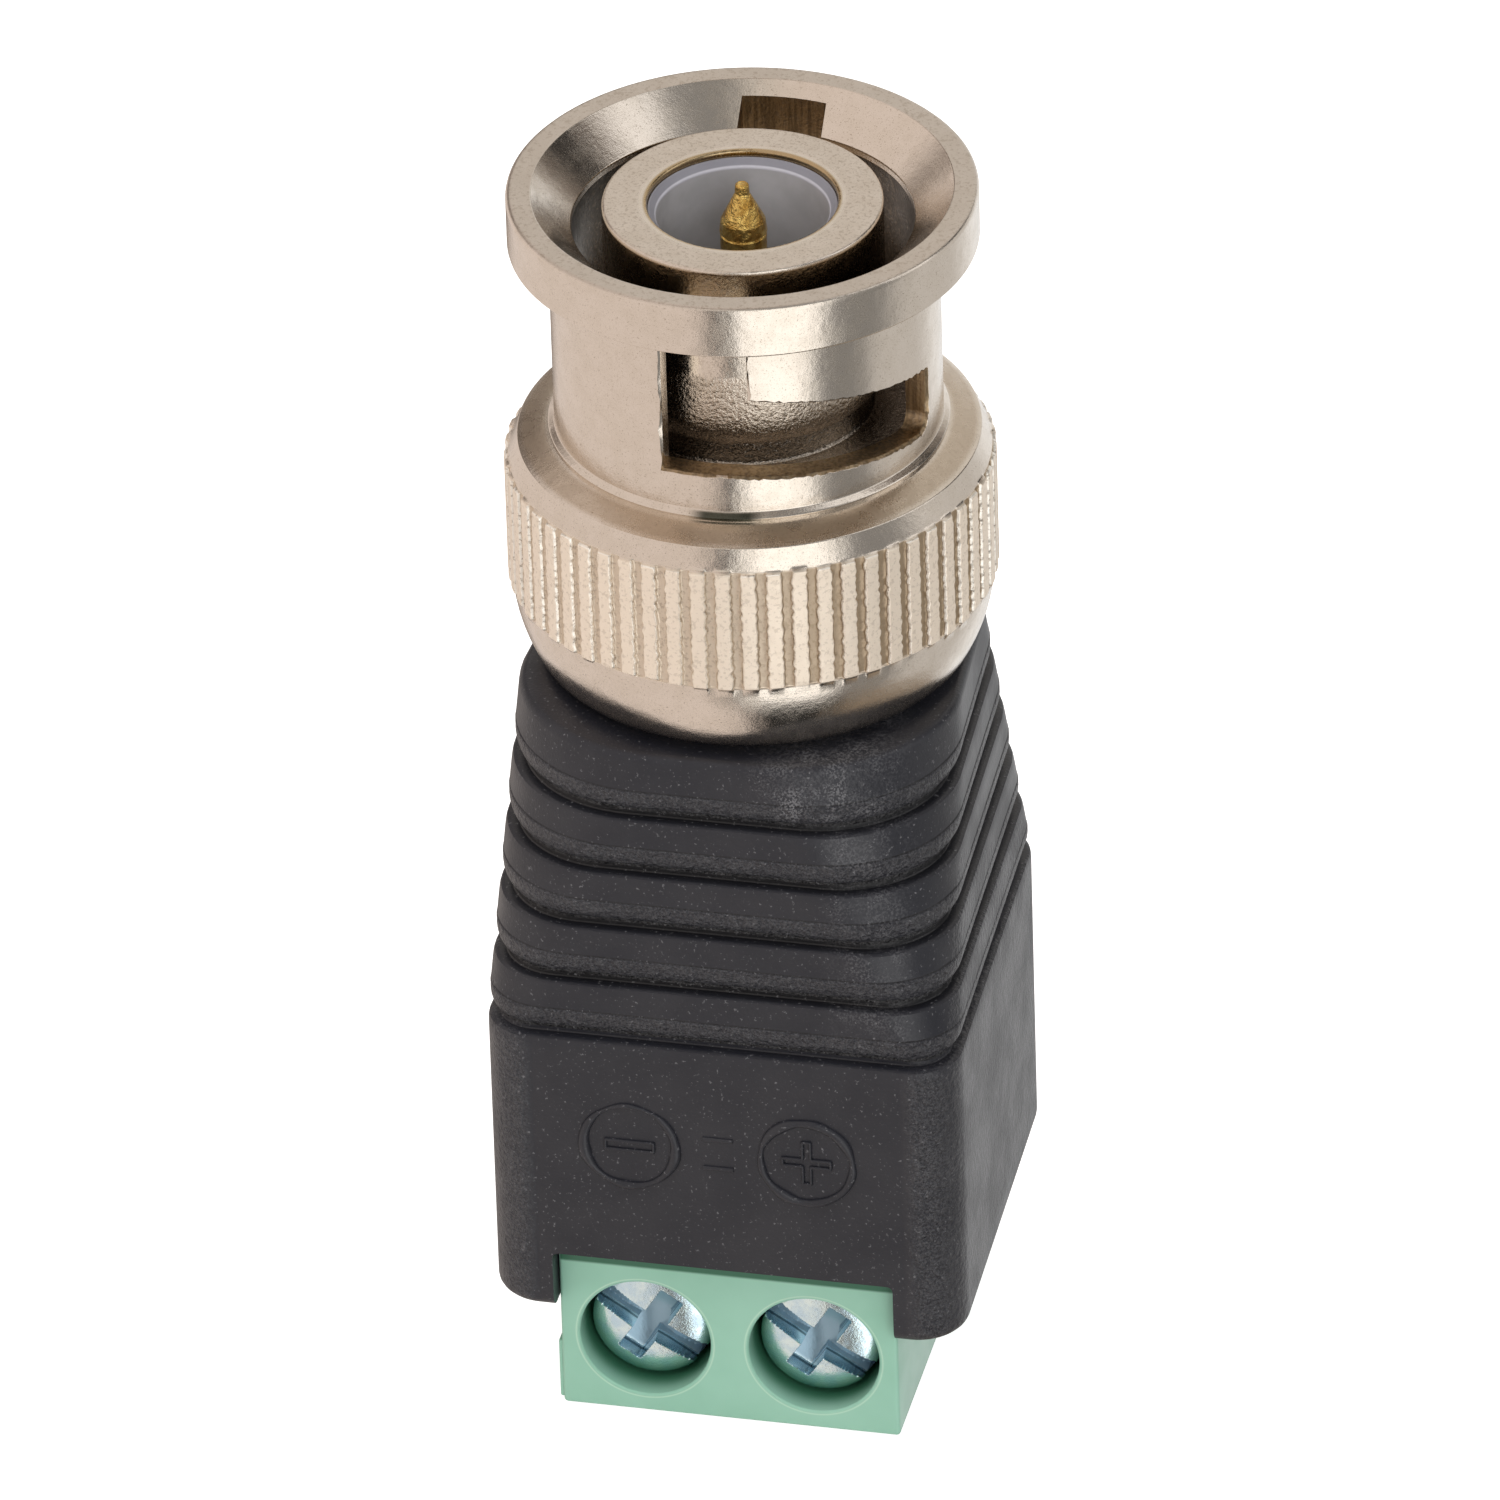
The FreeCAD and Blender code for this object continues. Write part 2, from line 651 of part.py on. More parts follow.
def inner_pieces():
    # All that the moulding holds, by name.
    starts = {"signal": (Vector(0, 0, pin_low), "plus"), "ground": (Vector(-ground_reach, 0, shank_low), "minus")}
    pieces = {"outer_contact": outer_contact(), "centre_pin": centre_pin(), "insulator": insulator()}
    for name, x in terminal_x.items():
        pieces["terminal_pin_" + name] = terminal_pin(x)
    for name, (start, terminal) in starts.items():
        core = bent_rod(wire_route(start, terminal, 0), core_radius)
        cover = bent_rod(wire_route(start, terminal, strip_length), wire_radius)
        pieces[name + "_wire"] = core
        pieces[name + "_wire_sleeve"] = cover.cut(core)
    taken = list(pieces.values())
    pieces["solder_centre"] = solder_drop(starts["signal"][0], taken)
    pieces["solder_shank"] = solder_drop(starts["ground"][0], taken)
    for name, x in terminal_x.items():
        pieces["solder_" + name] = solder_drop(Vector(x, joint_y, pin_height), taken)
    return pieces


held = inner_pieces()
for name, piece in held.items():
    save(piece, name)
save(moulded_body(held), "moulded_body")
save(coupling_sleeve(), "coupling_sleeve")
save(wave_spring(), "wave_spring")
save(thrust_washer(), "thrust_washer")
save(terminal_housing(), "terminal_housing")
for name, x in terminal_x.items():
    save(terminal_screw(x), "terminal_screw_" + name)
    save(clamp_cage(x), "clamp_cage_" + name)
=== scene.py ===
# Bayonet plug with a screw terminal block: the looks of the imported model, in millimetres until the meshes.
import bpy
import bmesh
import json
import numpy as np
from mathutils import Matrix, Vector

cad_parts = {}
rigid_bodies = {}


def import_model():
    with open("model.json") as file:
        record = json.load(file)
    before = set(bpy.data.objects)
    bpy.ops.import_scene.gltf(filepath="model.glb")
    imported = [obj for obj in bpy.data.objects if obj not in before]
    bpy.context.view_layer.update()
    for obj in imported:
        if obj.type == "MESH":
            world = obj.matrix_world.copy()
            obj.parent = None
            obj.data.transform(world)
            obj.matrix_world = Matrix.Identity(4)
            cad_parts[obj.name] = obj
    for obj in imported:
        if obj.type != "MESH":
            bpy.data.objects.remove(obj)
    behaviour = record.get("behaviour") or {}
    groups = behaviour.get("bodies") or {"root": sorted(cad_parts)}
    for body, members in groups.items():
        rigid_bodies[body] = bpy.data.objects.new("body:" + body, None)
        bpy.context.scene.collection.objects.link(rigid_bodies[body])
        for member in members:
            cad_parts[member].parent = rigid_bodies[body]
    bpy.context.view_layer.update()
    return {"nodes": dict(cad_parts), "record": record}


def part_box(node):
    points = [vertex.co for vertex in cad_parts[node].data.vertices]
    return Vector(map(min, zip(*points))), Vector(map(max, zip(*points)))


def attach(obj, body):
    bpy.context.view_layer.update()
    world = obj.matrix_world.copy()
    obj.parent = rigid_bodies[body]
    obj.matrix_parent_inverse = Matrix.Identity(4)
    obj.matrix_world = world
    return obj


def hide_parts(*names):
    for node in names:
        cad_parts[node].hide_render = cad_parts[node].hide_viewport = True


for leftover in list(bpy.data.objects):
    bpy.data.objects.remove(leftover)
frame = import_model()
millimetre = 0.001
pi = np.pi
rng = np.random.default_rng(5)
print("frame loaded")


# grids, outlines and meshes

meshing = {
    "weld": 0.0004,              # points closer than this become one
    "sliver": 0.0001,            # shorter edges are taken out
    "arcShare": 0.42,            # share of the shorter side that a rounded corner may take
    "arcStep": pi / 7,           # angle between the points of a rounded corner
}


def gridFaces(rows, columns, wrapRows=False, wrapColumns=False):
    # quads between neighbouring rows and columns; a wrap joins the last to the first
    row = np.arange(rows if wrapRows else rows - 1)[:, None]
    column = np.arange(columns if wrapColumns else columns - 1)[None, :]
    nextRow, nextColumn = (row + 1) % rows, (column + 1) % columns
    corners = [row * columns + column, row * columns + nextColumn,
               nextRow * columns + nextColumn, nextRow * columns + column]
    return np.stack(corners, -1).reshape(-1, 4)


def makeMesh(name, points, faces, sharpAngle=30):
    # the grid's points and quads as one closed, smooth mesh with sharp edges over sharpAngle degrees
    mesh = bpy.data.meshes.new(name)
    mesh.vertices.add(len(points))
    mesh.vertices.foreach_set("co", (np.asarray(points) * millimetre).astype(np.float32).ravel())
    mesh.loops.add(faces.size)
    mesh.loops.foreach_set("vertex_index", faces.astype(np.int32).ravel())
    mesh.polygons.add(len(faces))
    mesh.polygons.foreach_set("loop_start", np.arange(0, faces.size, 4, dtype=np.int32))
    mesh.update(calc_edges=True)
    form = bmesh.new()
    form.from_mesh(mesh)
    bmesh.ops.remove_doubles(form, verts=form.verts, dist=meshing["weld"] * millimetre)
    bmesh.ops.dissolve_degenerate(form, edges=form.edges, dist=meshing["sliver"] * millimetre)
    bmesh.ops.recalc_face_normals(form, faces=form.faces)
    form.to_mesh(mesh)
    form.free()
    return shaded(mesh, sharpAngle)


def shaded(mesh, sharpAngle):
    mesh.shade_smooth()
    mesh.set_sharp_from_angle(angle=np.radians(sharpAngle))
    return mesh


def putInScene(name, data):
    thing = bpy.data.objects.new(name, data)
    bpy.context.scene.collection.objects.link(thing)
    return thing


def addPiece(name, mesh, material, body, replaced=()):
    piece = putInScene(name, mesh)
    mesh.materials.clear()
    mesh.materials.append(material)
    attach(piece, body)
    if replaced:
        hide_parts(*replaced)


def cutMesh(mesh, cutters, sharpAngle):
    # the mesh less each cutter in turn; every cutter is (points, faces) of a closed form
    block, tools = putInScene("block", mesh), []
    for points, faces in cutters:
        tools.append(putInScene("tool", makeMesh("tool", points, faces)))
        cut = block.modifiers.new("cut", "BOOLEAN")
        cut.operation, cut.solver, cut.object = "DIFFERENCE", "EXACT", tools[-1]
    bpy.context.view_layer.update()
    cutBlock = block.evaluated_get(bpy.context.evaluated_depsgraph_get())
    result = bpy.data.meshes.new_from_object(cutBlock)
    for thing in tools + [block]:
        bpy.data.objects.remove(thing)
    return shaded(result, sharpAngle)


def sharp(points):
    # corners that aren't rounded
    return [(r, z, 0) for r, z in points]


def roundedOutline(corners, closed=True):
    # each (x, y, radius) corner becomes an arc tangent to both its sides, with a support point beyond each end
    flat = np.array([corner[:2] for corner in corners], float)
    count, runs = len(corners), []
    for index in range(count):
        here, radius = flat[index], corners[index][2]
        if radius <= 0 or (not closed and index in (0, count - 1)):
            runs.append(here[None])
            continue
        before, after = flat[index - 1] - here, flat[(index + 1) % count] - here
        lengths = np.linalg.norm(before), np.linalg.norm(after)
        before, after = before / lengths[0], after / lengths[1]
        half = np.arccos(np.clip(before @ after, -1, 1)) / 2
        reach = min(radius / np.tan(half), meshing["arcShare"] * min(lengths))
        radius = reach * np.tan(half)
        middle = here + (before + after) / np.linalg.norm(before + after) * radius / np.sin(half)
        first, last = here + before * reach - middle, here + after * reach - middle
        turn = (pi - 2 * half) * np.sign(first[0] * last[1] - first[1] * last[0])
        t = np.linspace(0, turn, max(3, int(np.ceil(abs(turn) / meshing["arcStep"]))))[:, None]
        arc = middle + np.cos(t) * first + np.sin(t) * np.array([-first[1], first[0]])
        support = [min(0.5 * reach, 0.15 * (length - reach)) for length in lengths]
        runs.append((here + before * (reach + support[0]))[None])
        runs += [arc, (here + after * (reach + support[1]))[None]]
    return np.concatenate(runs)


def arcThrough(first, middle, last, count):
    # points on the circle through three (radius, height) points, ends included
    (ax, ay), (bx, by), (cx, cy) = first, middle, last
    scale = 2 * (ax * (by - cy) + bx * (cy - ay) + cx * (ay - by))
    sa, sb, sc = ax * ax + ay * ay, bx * bx + by * by, cx * cx + cy * cy
    ox = (sa * (by - cy) + sb * (cy - ay) + sc * (ay - by)) / scale
    oy = (sa * (cx - bx) + sb * (ax - cx) + sc * (bx - ax)) / scale
    start, end = np.arctan2(ay - oy, ax - ox), np.arctan2(cy - oy, cx - ox)
    t = start + np.linspace(0, (end - start + pi) % (2 * pi) - pi, count)
    radius = np.hypot(ax - ox, ay - oy)
    return np.stack([ox + radius * np.cos(t), oy + radius * np.sin(t)], -1)


def turned(outline, columns, closed=True):
    # every (radius, height) point of the outline carried round the Z axis, starting from -Y towards +X
    angle = np.linspace(0, 2 * pi, columns, endpoint=False)[None, :]
    radius, height = outline[:, :1], outline[:, 1:2]
    points = np.stack([radius * np.sin(angle), -radius * np.cos(angle), height + 0 * angle], -1)
    return points.reshape(-1, 3), gridFaces(len(outline), columns, closed, True)


def boxShell(levels, place):
    # the six sides of a unit box as grids, carried by place(u, v, w) and closed where they meet
    sides = []
    for axis in range(3):
        one, two = (axis + 1) % 3, (axis + 2) % 3
        a, b = np.meshgrid(levels[one], levels[two], indexing="ij")
        for end in (0.0, 1.0):
            uvw = [None] * 3
            uvw[axis], uvw[one], uvw[two] = np.full_like(a, end), a, b
            sides.append((place(*uvw).reshape(-1, 3), gridFaces(*a.shape)))
    return joined(sides)


def roundedBox(low, high, radius, steps=4, inner=6):
    # a box whose points are pulled onto balls of the given radius about the box inside it
    low, high = np.array(low, float), np.array(high, float)
    size = high - low
    edge = [radius * (1 - np.cos(np.linspace(0, pi / 2, steps + 1))) / length for length in size]
    levels = [np.concatenate([e, np.linspace(e[-1], 1 - e[-1], inner + 2)[1:-1], 1 - e[::-1]]) for e in edge]

    def place(u, v, w):
        point = low + np.stack([u, v, w], -1) * size
        core = np.clip(point, low + radius, high - radius)
        out = point - core
        return core + out * radius / np.maximum(np.linalg.norm(out, axis=-1, keepdims=True), 1e-9)
    return boxShell(levels, place)


def joined(parts):
    # several (points, faces) as one
    start, points, faces = 0, [], []
    for part, quads in parts:
        points.append(part)
        faces.append(quads + start)
        start += len(part)
    return np.concatenate(points), np.concatenate(faces)


def ripple(t, seed, pieces=7, fastest=40):
    # a smooth random line: a sum of sines with random speeds and phases, within about -1 and 1
    draw = np.random.default_rng(seed)
    speed, phase = draw.uniform(0.15, 1, pieces) * fastest, draw.uniform(0, 2 * pi, pieces)
    return np.sin(np.asarray(t)[..., None] * speed + phase).sum(-1) / np.sqrt(2 * pieces)


def smoothStep(t):
    t = np.clip(t, 0, 1)
    return t * t * (3 - 2 * t)


def boxOf(node):
    return [np.array(corner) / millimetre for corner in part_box(node)]


# shader arithmetic: a field is a node's socket that can be added, multiplied and compared

def mathNode(operation, swapped=False):
    # a sign or method that makes one math node of the field and the other value, in the field's own tree
    def made(self, *others):
        values = (self, *others)[::-1] if swapped else (self, *others)
        return addField(self.tree, "ShaderNodeMath", dict(enumerate(values)), operation=operation)
    return made


class Field:
    def __init__(self, socket):
        self.socket, self.tree = socket, socket.id_data

    __add__ = __radd__ = mathNode("ADD")
    __mul__ = __rmul__ = mathNode("MULTIPLY")
    __sub__, __rsub__ = mathNode("SUBTRACT"), mathNode("SUBTRACT", True)
    __truediv__, __rtruediv__ = mathNode("DIVIDE"), mathNode("DIVIDE", True)
    __lt__, __gt__ = mathNode("LESS_THAN"), mathNode("GREATER_THAN")
    most, root, angle = mathNode("MAXIMUM"), mathNode("SQRT"), mathNode("ARCTAN2")
    absolute, fraction = mathNode("ABSOLUTE"), mathNode("FRACT")


def addNode(tree, kind, inputs=None, **settings):
    # a node with its settings; an input is a number, a colour or a field
    node = tree.nodes.new(kind)
    for name, value in settings.items():
        setattr(node, name, value)
    for name, value in (inputs or {}).items():
        if isinstance(value, Field):
            tree.links.new(value.socket, node.inputs[name])
        else:
            node.inputs[name].default_value = value
    return node


def addField(tree, kind, inputs=None, output=0, **settings):
    return Field(addNode(tree, kind, inputs, **settings).outputs[output])


def named(sockets):
    return {socket.name: Field(socket) for socket in sockets}


def parted(place):
    # the three coordinates of a place
    return [Field(socket) for socket in addNode(place.tree, "ShaderNodeSeparateXYZ", {0: place}).outputs]


def distance(x, y):
    return (x * x + y * y).root()


def between(value, low, high, to=(0.0, 1.0)):
    # value from low..high to the range `to`, smoothly and held at its ends
    return addField(value.tree, "ShaderNodeMapRange", {0: value, 1: low, 2: high, 3: to[0], 4: to[1]},
                    interpolation_type="SMOOTHSTEP")


def span(value, low, high, soft):
    # 1 from low to high, falling to 0 over a soft edge
    return between(value, low - soft, low + soft) * (1.0 - between(value, high - soft, high + soft))


def blend(mask, first, second):
    # first where the mask is 0 and second where it is 1; each is a field or a colour
    first, second = (side if isinstance(side, Field) else (*side, 1) for side in (first, second))
    return addField(mask.tree, "ShaderNodeMix", {0: mask, 6: first, 7: second}, 2, data_type="RGBA")


def layered(colour, *layers):
    # each (mask, colour) laid over the ones before it
    for mask, over in layers:
        colour = blend(mask, colour, over)
    return colour


def ramp(value, stops):
    node = addNode(value.tree, "ShaderNodeValToRGB", {0: value})
    line = node.color_ramp
    while len(line.elements) > 1:
        line.elements.remove(line.elements[-1])
    line.elements[0].position, line.elements[0].color = stops[0][0], (*stops[0][1], 1)
    for place, colour in stops[1:]:
        line.elements.new(place).color = (*colour, 1)
    return Field(node.outputs[0])


def objectMillimetres(tree, stretch=(1.0, 1.0, 1.0)):
    # the object's own coordinates in millimetres, each axis times its stretch
    coordinates = addField(tree, "ShaderNodeTexCoord", output="Object")
    scale = [axis / millimetre for axis in stretch]
    return addField(tree, "ShaderNodeVectorMath", {0: coordinates, 1: scale}, operation="MULTIPLY")


def noise(place, scale, detail=2.0, rough=0.5):
    inputs = {"Vector": place, "Scale": scale, "Detail": detail, "Roughness": rough}
    return addField(place.tree, "ShaderNodeTexNoise", inputs, "Fac")


def feed(node, **sockets):
    for name, value in sockets.items():
        value.tree.links.new(value.socket, node.inputs[name.replace("_", " ")])


def newGroup(name, inputs, outputs):
    # an empty node group with float inputs {name: value} and outputs
    group = bpy.data.node_groups.new(name, "ShaderNodeTree")
    kind = {"socket_type": "NodeSocketFloat"}
    for socket, value in inputs.items():
        group.interface.new_socket(socket, in_out="INPUT", **kind).default_value = value
    for socket in outputs:
        group.interface.new_socket(socket, in_out="OUTPUT", **kind)
    return group, named(group.nodes.new("NodeGroupInput").outputs), group.nodes.new("NodeGroupOutput")


def buildSpeckle():
    # small pits or grains and broad clouds: Grain and Clouds are masks, Height feeds a bump
    group, given, put = newGroup("speckle", {"Grain size": 0.05, "Grain share": 0.3, "Cloud size": 1.5},
                                 ("Grain", "Clouds", "Height"))
    place = objectMillimetres(group)
    fine = noise(place, 1.0 / given["Grain size"], 3.0, 0.6)
    broad = noise(place, 1.0 / given["Cloud size"], 3.0, 0.55)
    edge = 0.78 - given["Grain share"] * 0.5
    feed(put, Grain=between(fine, edge, edge + 0.1), Clouds=between(broad, 0.3, 0.7), Height=fine)
    return group


def buildTurning():
    # fine rings left by a lathe: noise of the distance from the plug's axis and of the height, slightly waved
    group, given, put = newGroup("turning", {"Ring size": 0.04, "Wave": 0.05}, ("Rings",))
    place = objectMillimetres(group)
    x, y, z = parted(place)
    wave = noise(place, 0.7) * given["Wave"]
    line = addField(group, "ShaderNodeCombineXYZ", {0: distance(x, y) + wave, 1: 0.0, 2: z + wave})
    feed(put, Rings=noise(line, 1.0 / given["Ring size"], 2.0, 0.6))
    return group


speckle, turning = buildSpeckle(), buildTurning()


def useGroup(tree, group, *values):
    # a group's outputs by name; its inputs take the values in their order
    return named(addNode(tree, "ShaderNodeGroup", dict(enumerate(values)), node_tree=group).outputs)


def newMaterial(name, **fixed):
    # a Principled material with constants on the shader's own sockets
    material = bpy.data.materials.new(name)
    material.use_nodes = True
    tree = material.node_tree
    shader = next(node for node in tree.nodes if node.type == "BSDF_PRINCIPLED")
    for socket, value in fixed.items():
        shader.inputs[socket.replace("_", " ")].default_value = value
    return material, tree, shader


def cloudy(spots, gloss):
    # roughness from the first value to the second with the clouds
    return between(spots["Clouds"], 0.0, 1.0, gloss)


def bumps(height, depth):
    inputs = {"Height": height, "Distance": depth * millimetre, "Strength": 1.0}
    return addField(height.tree, "ShaderNodeBump", inputs)


def speckled(name, dark, bright, gloss, sizes, relief=None, **fixed):
    # a plain finish: clouds in colour and gloss, grain in the relief
    material, tree, shader = newMaterial(name, **fixed)
    spots = useGroup(tree, speckle, *sizes)
    feed(shader, Base_Color=blend(spots["Clouds"], dark, bright), Roughness=cloudy(spots, gloss))
    if relief:
        feed(shader, Normal=bumps(spots["Height"], relief))
    return material


metals = {
    "nickelLight": (0.80, 0.725, 0.64),
    "nickelDark": (0.765, 0.69, 0.60),
    "nickelSpot": (0.36, 0.29, 0.215),
    "nickelGrey": (0.56, 0.505, 0.45),
    "knurlPale": (0.90, 0.795, 0.665),
    # near-white painted glint on the knurl ridges' edges
    "ridgeGlint": (1.0, 0.96, 0.88),
    # brown painted shade in the knurl's grooves
    "grooveShadeBrown": (0.40, 0.295, 0.185),
    # near black: painted shade in the sleeve's bore and low on the barrel, and the scratch lines
    "shadeAndScratchBlack": (0.02, 0.015, 0.01),
    "goldenEdge": (0.48, 0.35, 0.18),
    # brown painted shade and reflection: in the shoulder's hollow and on the barrel seen through the slots
    "brownShade": (0.46, 0.35, 0.235),
    # dark brown painted shade and reflection on the ring's side inside the sleeve's mouth
    "darkBrownShade": (0.32, 0.22, 0.115),
    "cutBrown": (0.42, 0.31, 0.19),
    "stain": (0.015, 0.025, 0.012),
    "spots": (0.05, 0.40, 0.6), "pits": (0.12, 0.50, 0.6),     # grain size, grain share, cloud size
    "rings": (0.03, 0.04),       # size and wave of the lathe's rings
    "freckles": 0.05,            # share of the pits' colour
    "relief": 0.0035,            # height of the finest texture
}


def nickelPlate(name, zones, gloss=(0.23, 0.17), scratched=0.0, stain=None, rightShade=None):
    # warm plating: faint clouds and pits in colour and gloss, lathe rings in the relief; each zone of radii and
    # heights has a tint, how much of it, how much rougher and coarser it is, and how milky; the rightShade zone's
    # tint, a painted shade, grows from left to right; stain is a dark smear on the front; scratched adds dark lines
    material, tree, shader = newMaterial(name, Metallic=1.0)
    spots, pits = (useGroup(tree, speckle, *metals[kind]) for kind in ("spots", "pits"))
    rings = useGroup(tree, turning, *metals["rings"])["Rings"]
    x, y, z = parted(objectMillimetres(tree))
    radius = distance(x, y)

    def zone(radii, heights, soft):
        return span(radius, *radii, soft) * span(z, *heights, soft)

    colour = layered(metals["nickelDark"], (spots["Clouds"], metals["nickelLight"]),
                     (spots["Grain"] * 0.5, metals["nickelSpot"]))
    rough = cloudy(spots, gloss) + spots["Grain"] * 0.15
    height = rings * 0.6 + (spots["Height"] + spots["Clouds"])
    metal, freckles = 1.0, metals["freckles"]
    for radii, heights, soft, tint, share, rougher, coarser, milky in zones:
        mask = zone(radii, heights, soft)
        colour = blend(mask * share, colour, metals[tint])
        rough = rough + mask * rougher
        height = height + mask * coarser * pits["Height"]
        freckles = freckles + mask * min(0.10 * coarser, 0.45)
        metal = metal - mask * milky
    colour = blend(pits["Grain"] * freckles, colour, metals["nickelSpot"])
    if rightShade:
        radii, heights, soft, tint, across, share = rightShade
        colour = blend(zone(radii, heights, soft) * between(x, *across, (0.0, share)), colour, metals[tint])
    if stain:
        smear = span(x, *stain[0], 0.3) * span(z, *stain[1], 0.03)
        colour = blend((y < 0.0) * (smear * 0.9), colour, metals["stain"])
    if scratched:
        lines = between(noise(objectMillimetres(tree, (1.0, 1.0, 0.07)), 9.0, 3.0), 0.42, 0.62)
        colour = blend(lines * scratched, colour, metals["shadeAndScratchBlack"])
    feed(shader, Base_Color=colour, Roughness=rough, Metallic=metal, Normal=bumps(height, metals["relief"]))
    return material


# finishes of the solids that no piece replaces: name, colour, roughness, then the height of a metal's grain

hiddenFinishes = {
    "spring_steel": ("springSteel", (0.60, 0.60, 0.58), 0.25, 0.002),
    "brass": ("brass", (0.72, 0.55, 0.28), 0.28, 0.002),
    "cage_metal": ("cageMetal", (0.62, 0.61, 0.57), 0.32, 0.002),
    "tinned_brass": ("tinnedBrass", (0.70, 0.69, 0.66), 0.3, 0.002),
    "copper": ("copper", (0.75, 0.40, 0.25), 0.3, 0.002),
    "solder": ("solder", (0.62, 0.62, 0.62), 0.38, 0.01),
    "red_insulation": ("redInsulation", (0.55, 0.04, 0.03), 0.35),
    "black_insulation": ("blackInsulation", (0.03, 0.03, 0.03), 0.35),
}


def plainMetal(name, colour, roughness, grain):
    return speckled(name, [0.7 * c for c in colour], colour, (roughness * 1.3, roughness * 0.8),
                    (0.08, 0.3, 1.2), grain, Metallic=1.0)


def plainPlastic(name, colour, roughness):
    return speckled(name, [0.88 * c for c in colour], colour, (roughness * 1.15, roughness * 0.9),
                    (0.07, 0.2, 2.0), IOR=1.48)


hiddenMaterials = {kind: (plainMetal if len(finish) > 3 else plainPlastic)(*finish)
                   for kind, finish in hiddenFinishes.items()}
for part in frame["record"]["subparts"]:
    material = hiddenMaterials.get(part["material_slot"])
    if material:
        node = frame["nodes"][part["node"]]
        if not node.material_slots:
            node.data.materials.append(material)
        node.material_slots[0].material = material
print("hidden solids finished")


# coupling sleeve: heights are over its low end

sleeve = {
    "radius": 7.14,
    "teeth": 60,
    "toothShape": ((-0.32, 0.20), (-0.285, 0.75), (-0.245, 0.98), (0.0, 1.0), (0.245, 0.98), (0.285, 0.75),
                   (0.32, 0.20), (0.37, 0.03), (0.5, 0.0), (0.63, 0.03)),     # share of pitch, share of depth
    "knurlDepth": 0.16, "knurlLow": 2.38, "knurlHigh": 6.33, "knurlRows": 54,
    "plainOverRoot": 0.04, "plainTaper": 0.44,       # the plain rims beside the knurl
    "toothEnd": 0.14, "runOut": 0.05,                # height over which a ridge rounds off, and how far past the band
    "toothEndsVary": (0.02, 0.03),                   # at the low and at the high end
    "toothRagged": 0.03, "toothSway": 0.032,         # unevenness of the ridges' edges, outwards and sideways
    "lipRadius": 5.05, "lipHigh": 0.93, "chamberRadius": 6.15, "chamberHigh": 5.73,
    "tailEnd": 6.36, "tailBulge": 0.15, "tailFoot": 0.10,
    "shoulderRadius": 6.73, "shoulderLow": 6.98, "shoulderHollow": 0.05,
    "neckLow": 7.44, "neckHigh": 13.44, "neckRadius": 5.64, "bead": 0.16, "beadHeight": 0.12,
    "flangeRadius": 6.81, "mouthRadius": 6.10, "boreRadius": 4.95, "mouthDepth": 1.05,
}
sleeveLow, sleeveHigh = (corner[2] for corner in boxOf("coupling_sleeve"))
nickel = nickelPlate("nickelPlate", [      # radii, heights, soft edge, tint, its share, rougher, coarser, milky
    ((6.6, 8), (26.05, 30.0), 0.04, "knurlPale", 0.85, 0.26, 1.8, 0.1),
    ((7.09, 8), (26.1, 29.95), 0.02, "knurlPale", 0.5, 0.0, 0.4, 0.35),
    # painted shade, brown, in the knurl's grooves
    ((6.6, 7.04), (26.1, 29.95), 0.03, "grooveShadeBrown", 0.25, 0.0, 2.0, 0.0),
    # painted glint along the ridges' edges, near white and glossier
    ((7.03, 7.115), (26.1, 29.95), 0.012, "ridgeGlint", 0.9, -0.12, 4.0, 0.0),
    # painted shade, brown, in the hollow at the neck's foot
    ((5.9, 6.6), (30.6, 31.1), 0.1, "brownShade", 0.5, 0.08, 1.0, 0.0),
    ((6.1, 7.2), (38.66, 39), 0.03, "nickelGrey", 0.5, 0.14, 3.0, 0.0),
    # painted shade: the sleeve's bore darkened nearly black
    ((0, 4.98), (24, 37.45), 0.02, "shadeAndScratchBlack", 0.88, 0.1, 3.0, 0.0)],
    stain=((-0.3, 1.5), (30.98, 31.2)),    # places across, heights
    # painted shade in the grooves, growing towards the right
    rightShade=((6.6, 7.04), (26.1, 29.95), 0.03, "grooveShadeBrown", (-1.0, 5.0), 0.8))
cutNickel = nickelPlate("cutNickel", [((0, 9), (20, 40), 0.1, "cutBrown", 1.0, 0.12, 5.0, 0.0)], scratched=0.4)


